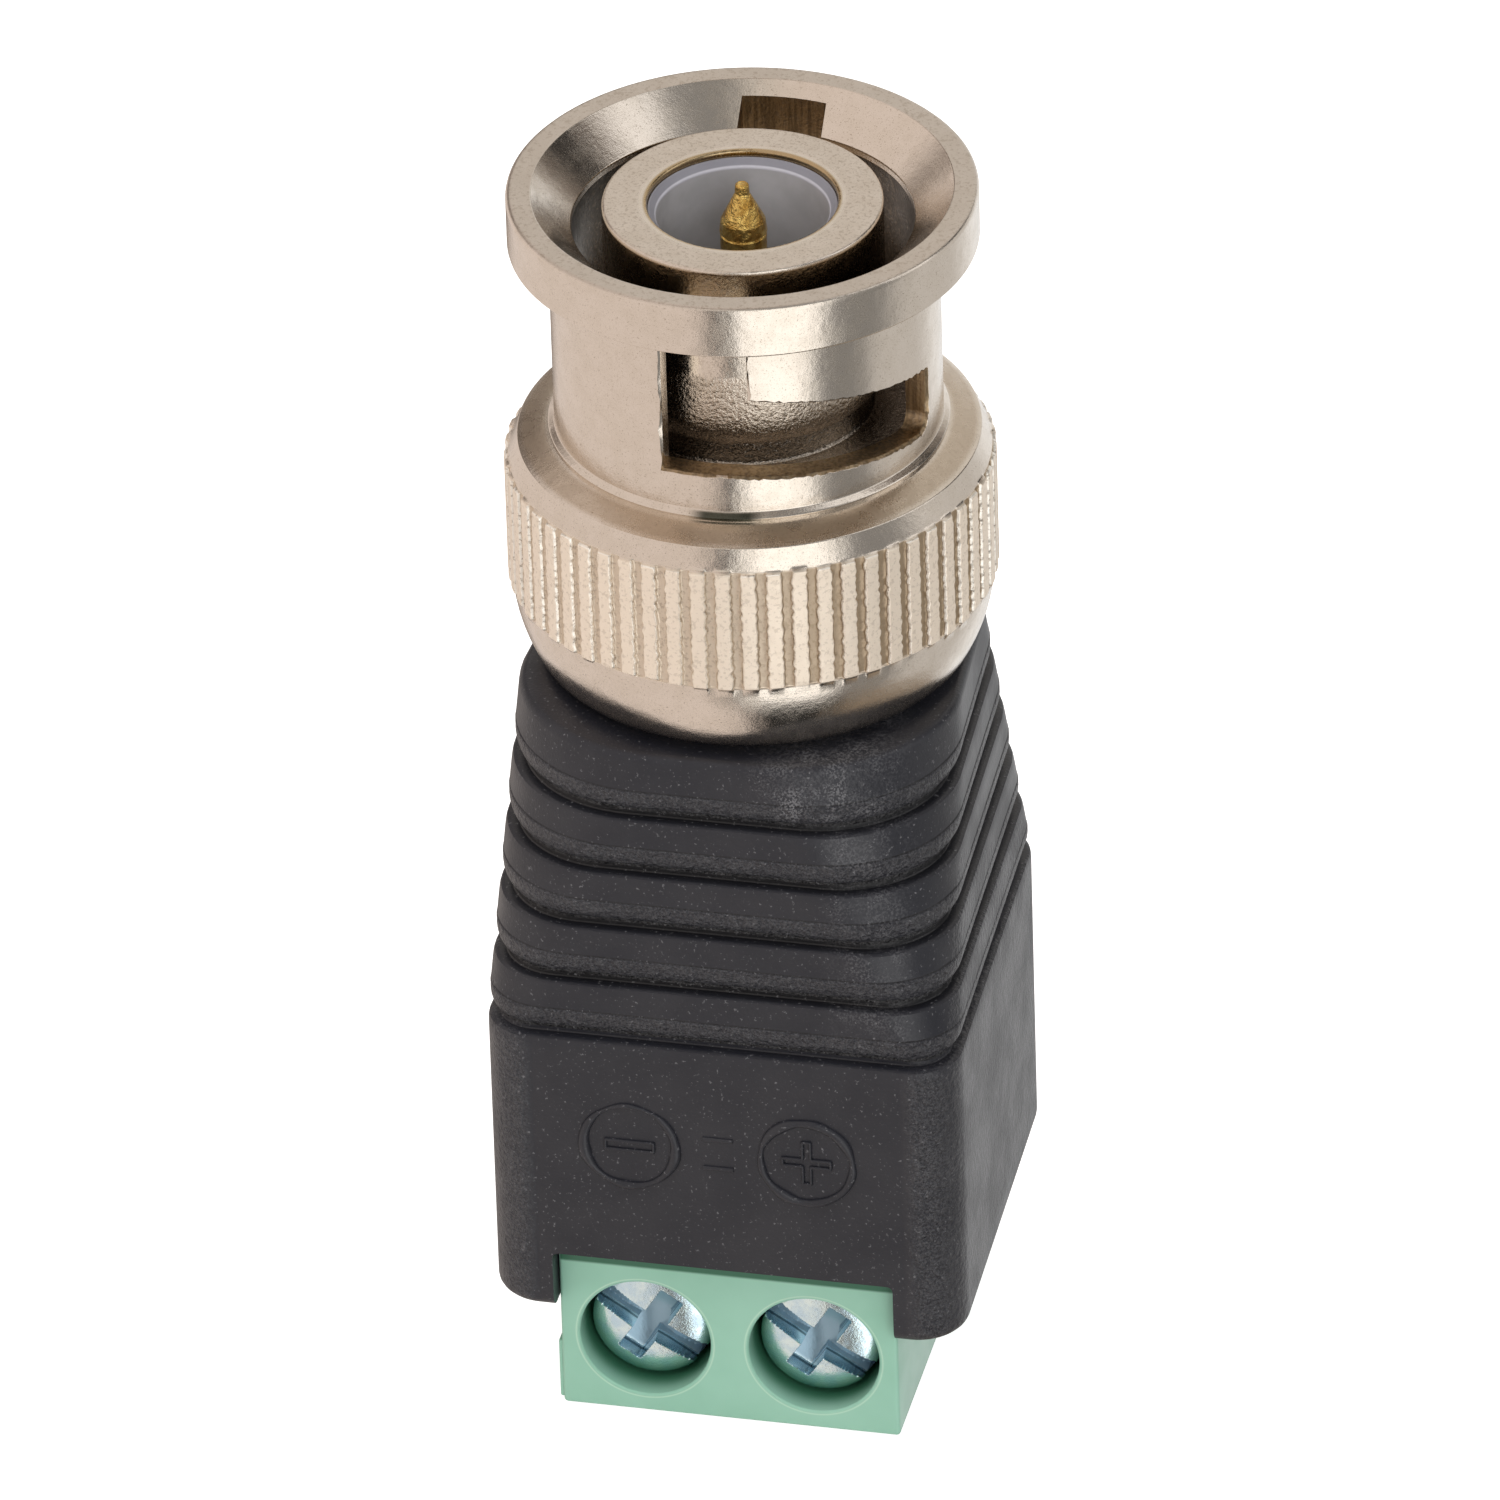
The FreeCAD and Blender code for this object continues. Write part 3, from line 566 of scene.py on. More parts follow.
def sleeveOutline(look):
    # the section as a closed ring of (radius, height): lip, tail, knurl, shoulder, neck, flange, mouth and bore
    top, low, high, over = sleeveHigh - sleeveLow, look["knurlLow"], look["knurlHigh"], look["runOut"]
    root = look["radius"] - look["knurlDepth"]
    plain = root + look["plainOverRoot"]
    tailLow, tailTop = (look["tailEnd"], look["tailFoot"]), (plain, low)
    tailMiddle = ((tailLow[0] + tailTop[0]) / 2 + look["tailBulge"], (tailLow[1] + tailTop[1]) / 2)
    corners = [(look["lipRadius"], 0, 0.05), (look["tailEnd"] - 0.10, 0, 0)]
    closer = [0, 5, 10, 15, 20, 25, 30, 34, 37, 39]           # of the tail's points, towards the knurl
    corners += sharp(arcThrough(tailLow, tailMiddle, tailTop, 40)[closer])
    ends = look["toothEnd"] * np.array([0.0, 0.12, 0.3, 0.55, 0.8, 1.0])
    band = np.linspace(low + 0.15, high - 0.15, look["knurlRows"])
    rows = np.concatenate([low - over + ends, band, high + over - ends[::-1]])
    rim = plain - np.maximum(rows - high, 0) * look["plainTaper"]
    seat = np.where((rows > low) & (rows < high), root, rim)
    corners += sharp((r, z) for r, z in zip(seat, rows) if z > low)

    shoulder, bead = look["shoulderRadius"], look["neckRadius"] + look["bead"]
    foot, neckLow, neck, neckHigh = look["shoulderLow"], look["neckLow"], look["neckRadius"], look["neckHigh"]
    last = np.array(corners[-1][:2])
    corners += sharp(last + t * ([shoulder, foot] - last) for t in (0.09, 0.16, 0.5, 0.85))
    corners += [(shoulder, foot, 0.05)]
    hollow = ((shoulder + bead) / 2, (foot + neckLow) / 2 - look["shoulderHollow"])
    beadFoot = (bead, neckLow - look["beadHeight"] - 0.02)
    corners += sharp(arcThrough((shoulder - 0.16, foot + 0.05), hollow, beadFoot, 6)[1:])
    corners += [(bead + 0.03, neckLow - 0.02, 0.05), (neck + 0.01, neckLow + look["beadHeight"], 0.04)]
    corners += sharp((neck, z) for z in np.linspace(neckLow + 0.5, neckHigh - 0.5, 6))
    flange, bore, chamber = look["flangeRadius"], look["boreRadius"], look["chamberRadius"]
    corners += [(neck, neckHigh, 0.22), (flange, neckHigh, 0.05), (flange, top, 0.13),
                (look["mouthRadius"], top, 0.05), (bore, top - look["mouthDepth"], 0.06)]
    corners += sharp([(bore, look["chamberHigh"]), (chamber, look["chamberHigh"]),
                      (chamber, look["lipHigh"]), (look["lipRadius"], look["lipHigh"])])
    return roundedOutline(corners) + [0, sleeveLow]


def sleeveSurface(look):
    # the section carried round the axis; inside the knurl's band the radius grows by the ridge's form
    outline = sleeveOutline(look)
    count, over = look["teeth"], look["runOut"]
    share, rise = np.tile(look["toothShape"], (count, 1)).T
    tooth = np.repeat(np.arange(count), len(look["toothShape"]))
    turn = (tooth + share) * 2 * pi / count
    radius, height = outline[:, :1], outline[:, 1:2]
    lowVary, highVary = look["toothEndsVary"]
    low = sleeveLow + look["knurlLow"] + lowVary * rng.normal(size=count)[tooth]
    high = sleeveLow + look["knurlHigh"] + highVary * rng.normal(size=count)[tooth]
    ends = smoothStep((height - low + over) / look["toothEnd"])
    ends = ends * smoothStep((high + over - height) / look["toothEnd"])
    outside = radius > look["radius"] - 0.4
    flank = (2 * tooth + (share > 0))[None, :]         # both points of a ridge's edge move as one
    edge = np.exp(-((np.abs(share) - 0.28) / 0.045) ** 2)
    crest = look["radius"] + look["toothRagged"] * ripple(height + 3.7 * flank, 3, 7, 28) * (edge - 0.25)
    grown = radius + np.maximum(np.minimum(crest, look["radius"]) - radius, 0) * rise * ends * outside
    free = smoothStep(np.abs(share) / 0.2) * (np.abs(share) < 0.45)
    sway = np.clip(ripple(height + 5.3 * flank, 4, 7, 24), -1, 1) * free * ends * outside
    turn = turn + look["toothSway"] * sway / look["radius"]
    points = np.stack([grown * np.sin(turn), -grown * np.cos(turn), height + 0 * turn], -1)
    return points.reshape(-1, 3), gridFaces(len(outline), len(rise), True, True)


slot = {                         # heights over the neck's foot, angles in degrees
    "width": 2.5, "channelRadius": 5.71, "channelStop": 0.16,
    "floor": 1.30, "floorDrop": 0.60, "floorBow": 1.5, "roof": 3.95, "roofDrop": 1.28, "roofBow": 1.15,
    "start": -4.0, "end": 79.5, "corner": 0.55,
    "flare": ((4.2, 0.0), (5.50, 0.0), (5.57, 0.015), (5.63, 0.075), (6.3, 0.55)),    # radius, widening of the edge
    "ragged": 0.45,              # share by which the edge's width varies
}


def slotFloor(angle, look):
    # falls along the ramp by a power of the angle and rises by a quarter circle at its end
    height = look["floor"] - look["floorDrop"] * (np.maximum(angle, 0) / look["end"]) ** look["floorBow"]
    left = np.clip(look["corner"] - np.radians(look["end"] - angle) * sleeve["neckRadius"], 0, look["corner"])
    return height + look["corner"] - np.sqrt(look["corner"] ** 2 - left ** 2)


def slotRoof(angle, look):
    return look["roof"] - look["roofDrop"] * (np.maximum(angle, 0) / look["end"]) ** look["roofBow"]


def slotCutters(look):
    # the entry channels, then the ramps, each with its twin across the axis; v runs outwards and widens the edge
    foot, top = sleeveLow + sleeve["neckLow"], sleeveHigh + 0.6
    start, under = foot + look["floor"], sleeveLow + sleeve["neckHigh"] - look["channelStop"]
    levels = np.array([start, *np.linspace(start + 0.2, under - 0.2, 24), under, under + 0.02, top])
    radii, flare = np.array(look["flare"]).T
    narrow = np.linspace(radii[0], look["channelRadius"], len(radii))

    def outwards(v, values):
        return np.interp(v * 4, np.arange(5), values)

    def channel(u, v, w):
        z = np.interp(w * (len(levels) - 1), np.arange(len(levels)), levels)
        behind = z > under + 0.01
        radius = np.where(behind, outwards(v, narrow), outwards(v, radii))
        grow = np.where(behind, 0, outwards(v, flare)) * (1 + look["ragged"] * ripple(z + u * 30, 11, 7, 16))
        x = (2 * u - 1) * (look["width"] / 2 + grow)
        z = np.where(w == 0, z - grow, z)
        return np.stack([x, -np.sqrt(radius ** 2 - x ** 2), z], -1)

    def ramped(u, v, w):
        angle = look["start"] + (look["end"] - look["start"]) * u
        radius, grow = outwards(v, radii), outwards(v, flare)
        grow = grow * (1 + look["ragged"] * ripple(angle / 8 + w * 20, 21, 7, 20))
        low = slotFloor(angle, look) + 0.03 * smoothStep((14 - angle) / 6) - grow
        z = low + (slotRoof(angle, look) + grow - low) * w
        angle = np.radians(angle) + np.where(u == 1, grow / radius, 0)
        return np.stack([radius * np.sin(angle), -radius * np.cos(angle), foot + z], -1)

    fifth = np.linspace(0, 1, 5)
    corner = np.degrees(look["corner"] / sleeve["neckRadius"]) / (look["end"] - look["start"])
    rounded = corner * (1 - np.sin(np.linspace(0, pi / 2, 14)))[1:]
    along = np.concatenate([np.linspace(0, 1 - corner, 60), 1 - rounded])
    forms = [boxShell((np.linspace(0, 1, 9), fifth, np.linspace(0, 1, len(levels))), channel),
             boxShell((along, fifth, np.linspace(0, 1, 7)), ramped)]
    return [joined([(points, faces), (points * [-1, -1, 1], faces)]) for points, faces in forms]


def finishCuts(mesh, look):
    # the slots' floors and ends and the channels behind the flange, laid open by the cuts, take the second finish
    place, facing = np.empty(3 * len(mesh.polygons)), np.empty(3 * len(mesh.polygons))
    mesh.polygons.foreach_get("center", place)
    mesh.polygons.foreach_get("normal", facing)
    x, y, z = place.reshape(-1, 3).T / millimetre
    radius, above = np.hypot(x, y), z - sleeveLow - sleeve["neckLow"]
    cut = (radius > sleeve["boreRadius"] + 0.03) & (above > 0.5)
    flange = sleeve["neckHigh"] - sleeve["neckLow"]
    farEnd = np.abs(np.degrees(np.arctan2(x, -y)) % 180 - look["end"]) < 6
    inFloor = (radius < sleeve["neckRadius"] - 0.03) & (above < flange - 0.1) & ((facing[2::3] > 0.5) | farEnd)
    inChannel = (radius < look["channelRadius"] + 0.02) & (np.abs(x) < look["width"] / 2 + 0.02)
    inChannel &= above > flange - 0.3
    mesh.polygons.foreach_set("material_index", (cut & (inFloor | inChannel)).astype(np.int32))


sleeveMesh = cutMesh(makeMesh("coupling", *sleeveSurface(sleeve)), slotCutters(slot), 32)
addPiece("couplingSleeveShell", sleeveMesh, nickel, "sleeve", ["coupling_sleeve"])
sleeveMesh.materials.append(cutNickel)
finishCuts(sleeveMesh, slot)
print("sleeve made", len(sleeveMesh.polygons))


# plug: outer contact, insulator cup and pin

plug = {
    "barrelRadius": 4.06, "barrelRound": (0.42, 1.15), "boreRadius": 2.75, "ringRound": 0.09, "barrelLength": 5.97,
    "reliefRadius": 3.6, "reliefHeight": 0.75, "neckRadius": 4.85, "flangeRadius": 6.10, "flangeHeight": 2.0,
    "flangeLow": 27.39, "shankRadius": 4.8, "rearBoreRadius": 3.4, "rearBoreDepth": 4.5,
    "cupBore": 2.5, "cupRim": 0.05, "cupFaceDrop": 0.2, "cupDepth": 5.6, "cupFoot": 4.5, "cupSlope": 0.22,
    "pinRadius": 0.675, "pinCone": 0.88, "ringDrop": 0.42, "nubRadius": 0.2, "nubLength": 0.32,
    "columns": {"contact": 256, "cup": 192, "pin": 96},
}
cupLook = {
    # the darker colour is the cup's painted shade towards its floor
    "wall": (0.40, 0.40, 0.415), "cloud": (0.46, 0.46, 0.48), "paintedShade": (0.30, 0.28, 0.265),
    "slope": (0.25, 0.25, 0.285), "edge": (0.52, 0.52, 0.58),
    "edgeRadii": (2.49, 2.54), "slopeFrom": 37.8,
    "depths": (33.2, 35.6),      # heights between which the wall turns to the painted shade
}
shankLow, ringFace = (corner[2] for corner in boxOf("outer_contact"))
pinLow, pinTip = (corner[2] for corner in boxOf("centre_pin"))
cupFace = ringFace - plug["cupFaceDrop"]
cupFloor = cupFace - plug["cupDepth"]
nickelRing = nickelPlate("nickelRing", [
    ((2.4, 2.86), (37.9, 39), 0.05, "goldenEdge", 0.9, 0.0, 0.0, 0.0),
    ((3.0, 4.02), (38.2, 39), 0.05, "nickelGrey", 0.1, 0.16, 3.0, 0.0),
    # painted shade and reflection, dark brown, on the ring's side inside the mouth
    ((3.3, 9), (36.3, 38.17), 0.04, "darkBrownShade", 0.9, 0.06, 6.0, 0.0),
    # brown painted shade on the barrel seen through the slots
    ((3.3, 9), (34.7, 36.3), 0.1, "brownShade", 0.1, 0.0, 2.0, 0.0),
    ((3.3, 9), (20, 34.7), 0.15, "brownShade", 0.25, -0.04, 14.0, 0.0),
    # painted shade on the barrel's lower part, inside the sleeve
    ((3.3, 9), (20, 32.3), 0.1, "shadeAndScratchBlack", 0.2, 0.0, 0.0, 0.0)])
gold = speckled("goldPlate", (0.50, 0.28, 0.06), (0.95, 0.68, 0.22), (0.25, 0.12), (0.16, 0.5, 0.3), 0.07,
                Metallic=1.0)


def paleDielectric(look):
    # milky cup that light comes through a little: painted shade towards its floor,
    # a pale line where its rim slopes in
    material, tree, shader = newMaterial("paleDielectric", IOR=1.4, Subsurface_Weight=0.25,
                                         Subsurface_Scale=0.0004, Subsurface_Radius=(1.0, 1.0, 1.1))
    x, y, z = parted(objectMillimetres(tree))
    spots = useGroup(tree, speckle, 0.1, 0.2, 0.9)
    atRim = z > look["slopeFrom"]
    colour = layered(look["wall"], (spots["Clouds"], look["cloud"]),
                     (1.0 - between(z, *look["depths"]), look["paintedShade"]), (atRim, look["slope"]),
                     (atRim * span(distance(x, y), *look["edgeRadii"], 0.015), look["edge"]))
    feed(shader, Base_Color=colour, Roughness=cloudy(spots, (0.45, 0.3)))
    return material


def contactOutline(look):
    # shank, flange, neck, relief groove, barrel and ring, then back through the bore
    relief, flangeLow, rear = ringFace - look["barrelLength"], look["flangeLow"], shankLow + look["rearBoreDepth"]
    groove, flangeHigh = relief - look["reliefHeight"], flangeLow + look["flangeHeight"]
    shank, flange, neck, thin, barrel, bore, rearBore = (
        look[name + "Radius"] for name in ("shank", "flange", "neck", "relief", "barrel", "bore", "rearBore"))
    t = np.linspace(0, pi / 2, 9)                      # the barrel's foot rounds in like a quarter of an ellipse
    inward, rise = look["barrelRound"]
    foot = sharp(zip(barrel - inward * (1 - np.sin(t)), relief + rise * (1 - np.cos(t))))
    return roundedOutline([
        (shank, shankLow, 0.05), (shank, flangeLow, 0), (flange, flangeLow, 0.05), (flange, flangeHigh, 0.05),
        (neck, flangeHigh, 0.05), (neck, groove, 0.05), (thin, groove, 0.12), (thin, relief, 0), *foot,
        (barrel, ringFace - 2.0, 0), (barrel, ringFace, look["ringRound"]), (bore, ringFace, look["ringRound"]),
        (bore, rear, 0), (rearBore, rear, 0), (rearBore, shankLow, 0.05)])


def cupOutline(look):
    # a thick foot, the outer wall, the thin rim that slopes in, and the well with its floor
    outer, inner, foot = look["boreRadius"] - 0.01, look["cupBore"], cupFloor - look["cupFoot"]
    return roundedOutline([(0, foot, 0), (outer, foot, 0.05), (outer, cupFace, 0.02),
                           (outer - look["cupRim"], cupFace, 0.02), (inner, cupFace - look["cupSlope"], 0.08),
                           (inner, cupFloor, 0.15), (0, cupFloor, 0)], closed=False)


def pinOutline(look):
    # a thin tail, the pin with a small ring groove, its cone and the round nub
    nubLow = pinTip - look["nubLength"]
    cone = nubLow - look["pinCone"]
    full, ring = look["pinRadius"], cone - look["ringDrop"]
    return roundedOutline([(0, pinLow, 0), (0.5, pinLow, 0.05), (0.5, cupFloor - 5, 0.02),
                           (full, cupFloor - 4.6, 0.02), (full, ring - 0.05, 0.01), (full - 0.05, ring, 0.01),
                           (full + 0.02, ring + 0.06, 0.01), (full - 0.02, cone, 0.12),
                           (look["nubRadius"] + 0.02, nubLow, 0.05), (look["nubRadius"], pinTip, 0.09),
                           (0, pinTip, 0)], closed=False)


columns = plug["columns"]
contactMesh = makeMesh("contact", *turned(contactOutline(plug), columns["contact"]))
addPiece("outerContactShell", contactMesh, nickelRing, "plug", ["outer_contact"])
cupMesh = makeMesh("cup", *turned(cupOutline(plug), columns["cup"], closed=False))
addPiece("dielectricCup", cupMesh, paleDielectric(cupLook), "plug", ["insulator"])
pinMesh = makeMesh("pin", *turned(pinOutline(plug), columns["pin"], closed=False))
addPiece("goldPin", pinMesh, gold, "plug", ["centre_pin"])
print("plug made")


# moulded body

moulding = {
    "low": 3.73, "boxTop": 13.42, "ribs": 4, "ribPitch": 1.95, "collar": 2.12,
    "boxHalfWidth": 7.08, "collarHalfWidth": 6.50, "halfDepth": 6.8, "draft": 0.018,
    "boxCorner": 1.5, "collarCorner": 4.9,
    "grooveDepth": 0.38, "grooveHeight": 0.28, "lipHeight": 0.12, "lipInset": 0.1, "ribRoll": 0.62,
    "bottomRoll": 0.4, "topRoll": 0.25, "arcSteps": 18, "straightSteps": 12,
    "notchHalf": 5.11, "notchHeight": 1.96, "notchBack": 3.83, "notchRound": 0.18,
}
blackLook = {
    "base": (0.0135, 0.0145, 0.0205),
    "worn": (0.034, 0.035, 0.041),
    # grey of the dust specks and of the painted sheen on the collar's front and the ribs' corners
    "dustAndSheenGrey": (0.45, 0.45, 0.47),
    # painted shade in the ribs' grooves, and the thin seam at the top of each rough band
    "grooveShadeAndSeam": (0.004, 0.004, 0.004),
    "dots": (0.11, 0.32, 2.2), "dustSheenGrains": (0.07, 0.62, 1.0), "hide": (0.18, 0.55, 0.7),    # speckles' sizes
    "roughBand": 0.45,           # share of a rib, from its groove up, that is rough
    "grooveShadeShare": 0.07,         # share of a rib, each side of its groove, that takes the darkest painted shade
    "cornerX": (5.75, 6.75),     # distance from the middle plane of the rough strip on the box's corners
    "leather": 14.0,             # relief of the rough parts over that of the rest
    "sideShare": 0.35,
    "sheenDustX": (1.8, 5.0), "sheenDustZ": (21.4, 23.5),      # where painted sheen and dust lie on the collar's front
    "ribSheenX": (3.6, 5.6),         # and, thinner, painted sheen on the ribs' front corner
    "relief": 0.012,
}


def blackMoulding(look):
    # satin black with dust specks; the lower part of each rib and the box's front corners are leathery and paler;
    # painted shade darkens the ribs' grooves, and painted sheen with dust lies on the collar's front and rib corners
    material, tree, shader = newMaterial("blackMoulding", IOR=1.5)
    dots, dustSheenGrains, hide = (useGroup(tree, speckle, *look[kind]) for kind in ("dots", "dustSheenGrains", "hide"))
    x, y, z = parted(objectMillimetres(tree))
    away, rough = x.absolute(), look["roughBand"]
    step = (z - moulding["boxTop"]) / moulding["ribPitch"]
    share = step.fraction()
    inRibs = (step > 0.0) * (step < moulding["ribs"] + 0.6)
    groove = 1.0 - span(share, look["grooveShadeShare"], 1 - look["grooveShadeShare"], 0.02)
    # painted shade, darkest in each rib's groove, and a thin seam line at the top of the rough band
    line = inRibs * groove.most(span(share, rough, rough + 0.02, 0.012))
    corner = span(away, *look["cornerX"], 0.3) * ((y < -5.0) * span(z, 3, moulding["boxTop"] - 0.2, 0.4))
    side = (away > look["cornerX"][1]) * look["sideShare"]
    sheenDust = span(x, *look["sheenDustX"], 0.9) * span(z, *look["sheenDustZ"], 0.5) * (y < 0.0)
    coarse = (inRibs * span(share, -1.0, rough, 0.03)).most(corner).most(side).most(sheenDust * 0.35)
    # painted sheen in grains on the ribs' front corners
    edge = inRibs * span(x, *look["ribSheenX"], 0.5) * (hide["Clouds"] * 0.4)
    # painted sheen mixed with dust on the collar's front and rib corners, and dust on the rough parts
    dustAndSheen = (sheenDust * dustSheenGrains["Clouds"]).most(coarse * 0.22).most(edge)
    colour = layered(look["base"], (dots["Clouds"] * 0.35, look["worn"]), (coarse * hide["Grain"], look["worn"]),
                     (line * 0.7, look["grooveShadeAndSeam"]), (dots["Grain"] * 0.25, look["dustAndSheenGrey"]),
                     (dustAndSheen * dustSheenGrains["Grain"] * 0.3, look["dustAndSheenGrey"]))
    height = dots["Height"] + coarse * look["leather"] * hide["Height"]
    feed(shader, Base_Color=colour, Roughness=cloudy(dots, (0.42, 0.34)) + dots["Grain"] * 0.2,
         Normal=bumps(height, look["relief"]))
    return material


def mouldingLevels(look):
    # (height, inset) of the outer form from its bottom edge to its top edge: under each groove is a lip, over it
    # the rolled foot of a rib
    low, boxTop, half, roll = look["low"], look["boxTop"], look["grooveHeight"] / 2, look["ribRoll"]
    lip, inset, groove = look["lipHeight"], look["lipInset"], look["grooveDepth"]
    t = np.linspace(0, pi / 2, 6)
    levels = list(zip(low + look["bottomRoll"] * (1 - np.cos(t)), look["bottomRoll"] * (1 - np.sin(t))))
    levels += [(z, 0) for z in np.linspace(low + 0.9, boxTop - 1.1, 12)]
    turn = np.radians([0, 12, 24, 36, 50, 64, 78, 90])
    for index in range(look["ribs"] + 1):
        middle = boxTop + index * look["ribPitch"]
        bottom, top = middle - half, middle + half
        levels += [(bottom - lip - 0.25, 0), (bottom - lip - 0.06, 0.004), (bottom - lip * 0.5, 0.03),
                   (bottom - 0.02, inset * 0.9), (bottom, inset + 0.04), (bottom + 0.015, groove - 0.03),
                   (bottom + 0.05, groove), (top - 0.04, groove)]
        levels += list(zip(top + roll * (1 - np.cos(turn)), groove * (1 - np.sin(turn))))
        levels += [(top + roll + 0.03, -0.012), (top + roll + 0.09, 0)]
    top = boxTop + look["ribs"] * look["ribPitch"] + look["collar"]
    levels += list(zip(top - look["topRoll"] * (1 - np.sin(t)), look["topRoll"] * (1 - np.cos(t))))
    return np.array(levels)


def mouldingSurface(look):
    # rounded trapeziums: columns run along four straight sides and four corner arcs, rows run up the levels
    levels = mouldingLevels(look)
    height, inset = levels[:, :1], levels[:, 1:]
    top = levels[-1, 0]
    share = np.clip((height - look["boxTop"]) / (top - look["boxTop"]), 0, 1)
    depth = look["halfDepth"] - inset
    front = look["boxHalfWidth"] + (look["collarHalfWidth"] - look["boxHalfWidth"]) * share - inset
    back = front - look["draft"] * 2 * depth
    corner = look["boxCorner"] + (look["collarCorner"] - look["boxCorner"]) * share
    radius = np.minimum(np.maximum(corner - inset, 0.15), np.minimum(0.8 * back, 0.8 * depth))
    arc, side = look["arcSteps"], look["straightSteps"]
    t, s = np.linspace(0, 1, arc), np.linspace(0, 1, side + 2)[1:-1]
    turnStart = np.array([-90, 0, 90, 180.0])
    signX, signY = np.array([1, 1, -1, -1]), np.array([-1, 1, 1, -1])
    own = np.repeat(np.arange(4), arc + side)
    following = np.roll(own, -(arc + side))
    angle = [np.concatenate([k + 90 * t, np.full(side, k + 90)]) for k in turnStart]
    angle, nextAngle = np.radians(np.concatenate(angle)), np.radians(turnStart)[(own + 1) % 4]
    weight = np.tile(np.concatenate([np.zeros(arc), s]), 4)[None, :, None]

    def at(corners, turn):
        wide = np.where(signY[corners] < 0, front, back)
        x = signX[corners] * (wide - radius) + radius * np.cos(turn)
        y = signY[corners] * (depth - radius) + radius * np.sin(turn)
        return np.stack([x, y, height + 0 * x], -1)

    points = at(own, angle) * (1 - weight) + at(following, nextAngle) * weight
    cap = [points[0] * [f, f, 1] for f in (0.0, 0.5, 0.9)]
    lid = [points[-1] * [f, f, 1] for f in (0.9, 0.5, 0.0)]
    points = np.concatenate([np.stack(cap), points, np.stack(lid)])
    return points.reshape(-1, 3), gridFaces(points.shape[0], points.shape[1], False, True)


def notchCutter(look):
    # the room for the terminal block, open to the front and below
    low, half = look["low"], look["notchHalf"]
    return roundedBox((-half, -8, low - 2), (half, look["notchBack"], low + look["notchHeight"]), look["notchRound"])


blackPvc = blackMoulding(blackLook)
bodyMesh = cutMesh(makeMesh("moulding", *mouldingSurface(moulding), 34), [notchCutter(moulding)], 34)
addPiece("mouldedBodyShell", bodyMesh, blackPvc, "plug", ["moulded_body"])
print("moulding made", len(bodyMesh.polygons))


# raised marks on the moulding's front

marks = {"radius": 1.38, "x": 2.65, "z": 9.78, "line": 0.12, "lift": 0.12, "signHalf": 0.72, "signWide": 0.15,
         "plusWide": 0.8, "dashX": 0.45, "dashRise": 0.5, "lineUneven": 0.4, "liftUneven": 0.3, "steps": 160}


def onFront(x, z):
    return np.stack([x, np.full(len(x), -moulding["halfDepth"]), z], -1)


def beadAlong(path, line, lift, closed=True, columns=10):
    # an ellipse carried along a path on the front: half as wide as `line` says, standing out by `lift`
    ahead = np.roll(path, -1, 0) - np.roll(path, 1, 0) if closed else np.gradient(path, axis=0)
    ahead /= np.linalg.norm(ahead, axis=1, keepdims=True)
    side = np.cross(ahead, (0.0, -1.0, 0.0))
    side /= np.linalg.norm(side, axis=1, keepdims=True)
    out = np.cross(side, ahead)
    t = np.linspace(0, 2 * pi, columns, endpoint=False)[None, :, None]
    line, lift = (np.broadcast_to(half, (len(path),))[:, None, None] for half in (line, lift))
    ring = path[:, None] + side[:, None] * np.cos(t) * line + out[:, None] * np.sin(t) * lift
    if not closed:                # the ends shrink to points
        first, last = (np.repeat(end[:, None], columns, 1) for end in (path[:1], path[-1:]))
        ring = np.concatenate([first, ring, last])
    return ring.reshape(-1, 3), gridFaces(len(ring), columns, closed, True)


def closedPath(corners, count):
    # a closed polygon of (x, z) corners sampled evenly
    corners = np.array([*corners, corners[0]], float)
    along = np.concatenate([[0], np.cumsum(np.linalg.norm(np.diff(corners, axis=0), axis=1))])
    t = np.linspace(0, along[-1], count, endpoint=False)
    return onFront(np.interp(t, along, corners[:, 0]), np.interp(t, along, corners[:, 1]))


def markParts(look):
    # at each side an uneven circle round its sign, and two short dashes between them
    half, wide, line, lift, steps = (look[name] for name in ("signHalf", "signWide", "line", "lift", "steps"))
    w = wide * look["plusWide"]
    minus = [(half, -wide), (half, wide), (-half, wide), (-half, -wide)]
    plus = [(half, -w), (half, w), (w, w), (w, half), (-w, half), (-w, w), (-half, w), (-half, -w), (-w, -w),
            (-w, -half), (w, -half), (w, -w)]
    turn = np.linspace(0, 2 * pi, steps, endpoint=False)
    parts = []
    for side, sign in ((-1, minus), (1, plus)):
        x, z = side * look["x"], look["z"]
        circle = onFront(x + look["radius"] * np.cos(turn), z + look["radius"] * np.sin(turn))
        uneven = ripple(np.sin(turn), 31 + side, 6, 9) + ripple(np.cos(turn), 41 + side, 6, 9)
        uneven = np.round(uneven, 3)
        wider, higher = 1 + look["lineUneven"] * uneven, 1 + look["liftUneven"] * uneven
        parts.append(beadAlong(circle, line * wider, lift * higher))
        path = closedPath([(x + cx, z + cz) for cx, cz in sign], steps)
        parts.append(beadAlong(path, line * 0.45, lift * 0.7))
    for rise in (-look["dashRise"], look["dashRise"]):
        t = np.linspace(-1, 1, 24)
        dash = onFront(t * look["dashX"], look["z"] + rise + 0 * t)
        parts.append(beadAlong(dash, line * 0.6, lift * 0.6, closed=False))
    return joined(parts)


addPiece("polarityMarks", makeMesh("marks", *markParts(marks), 60), blackPvc, "plug")
print("marks made")


# terminal block

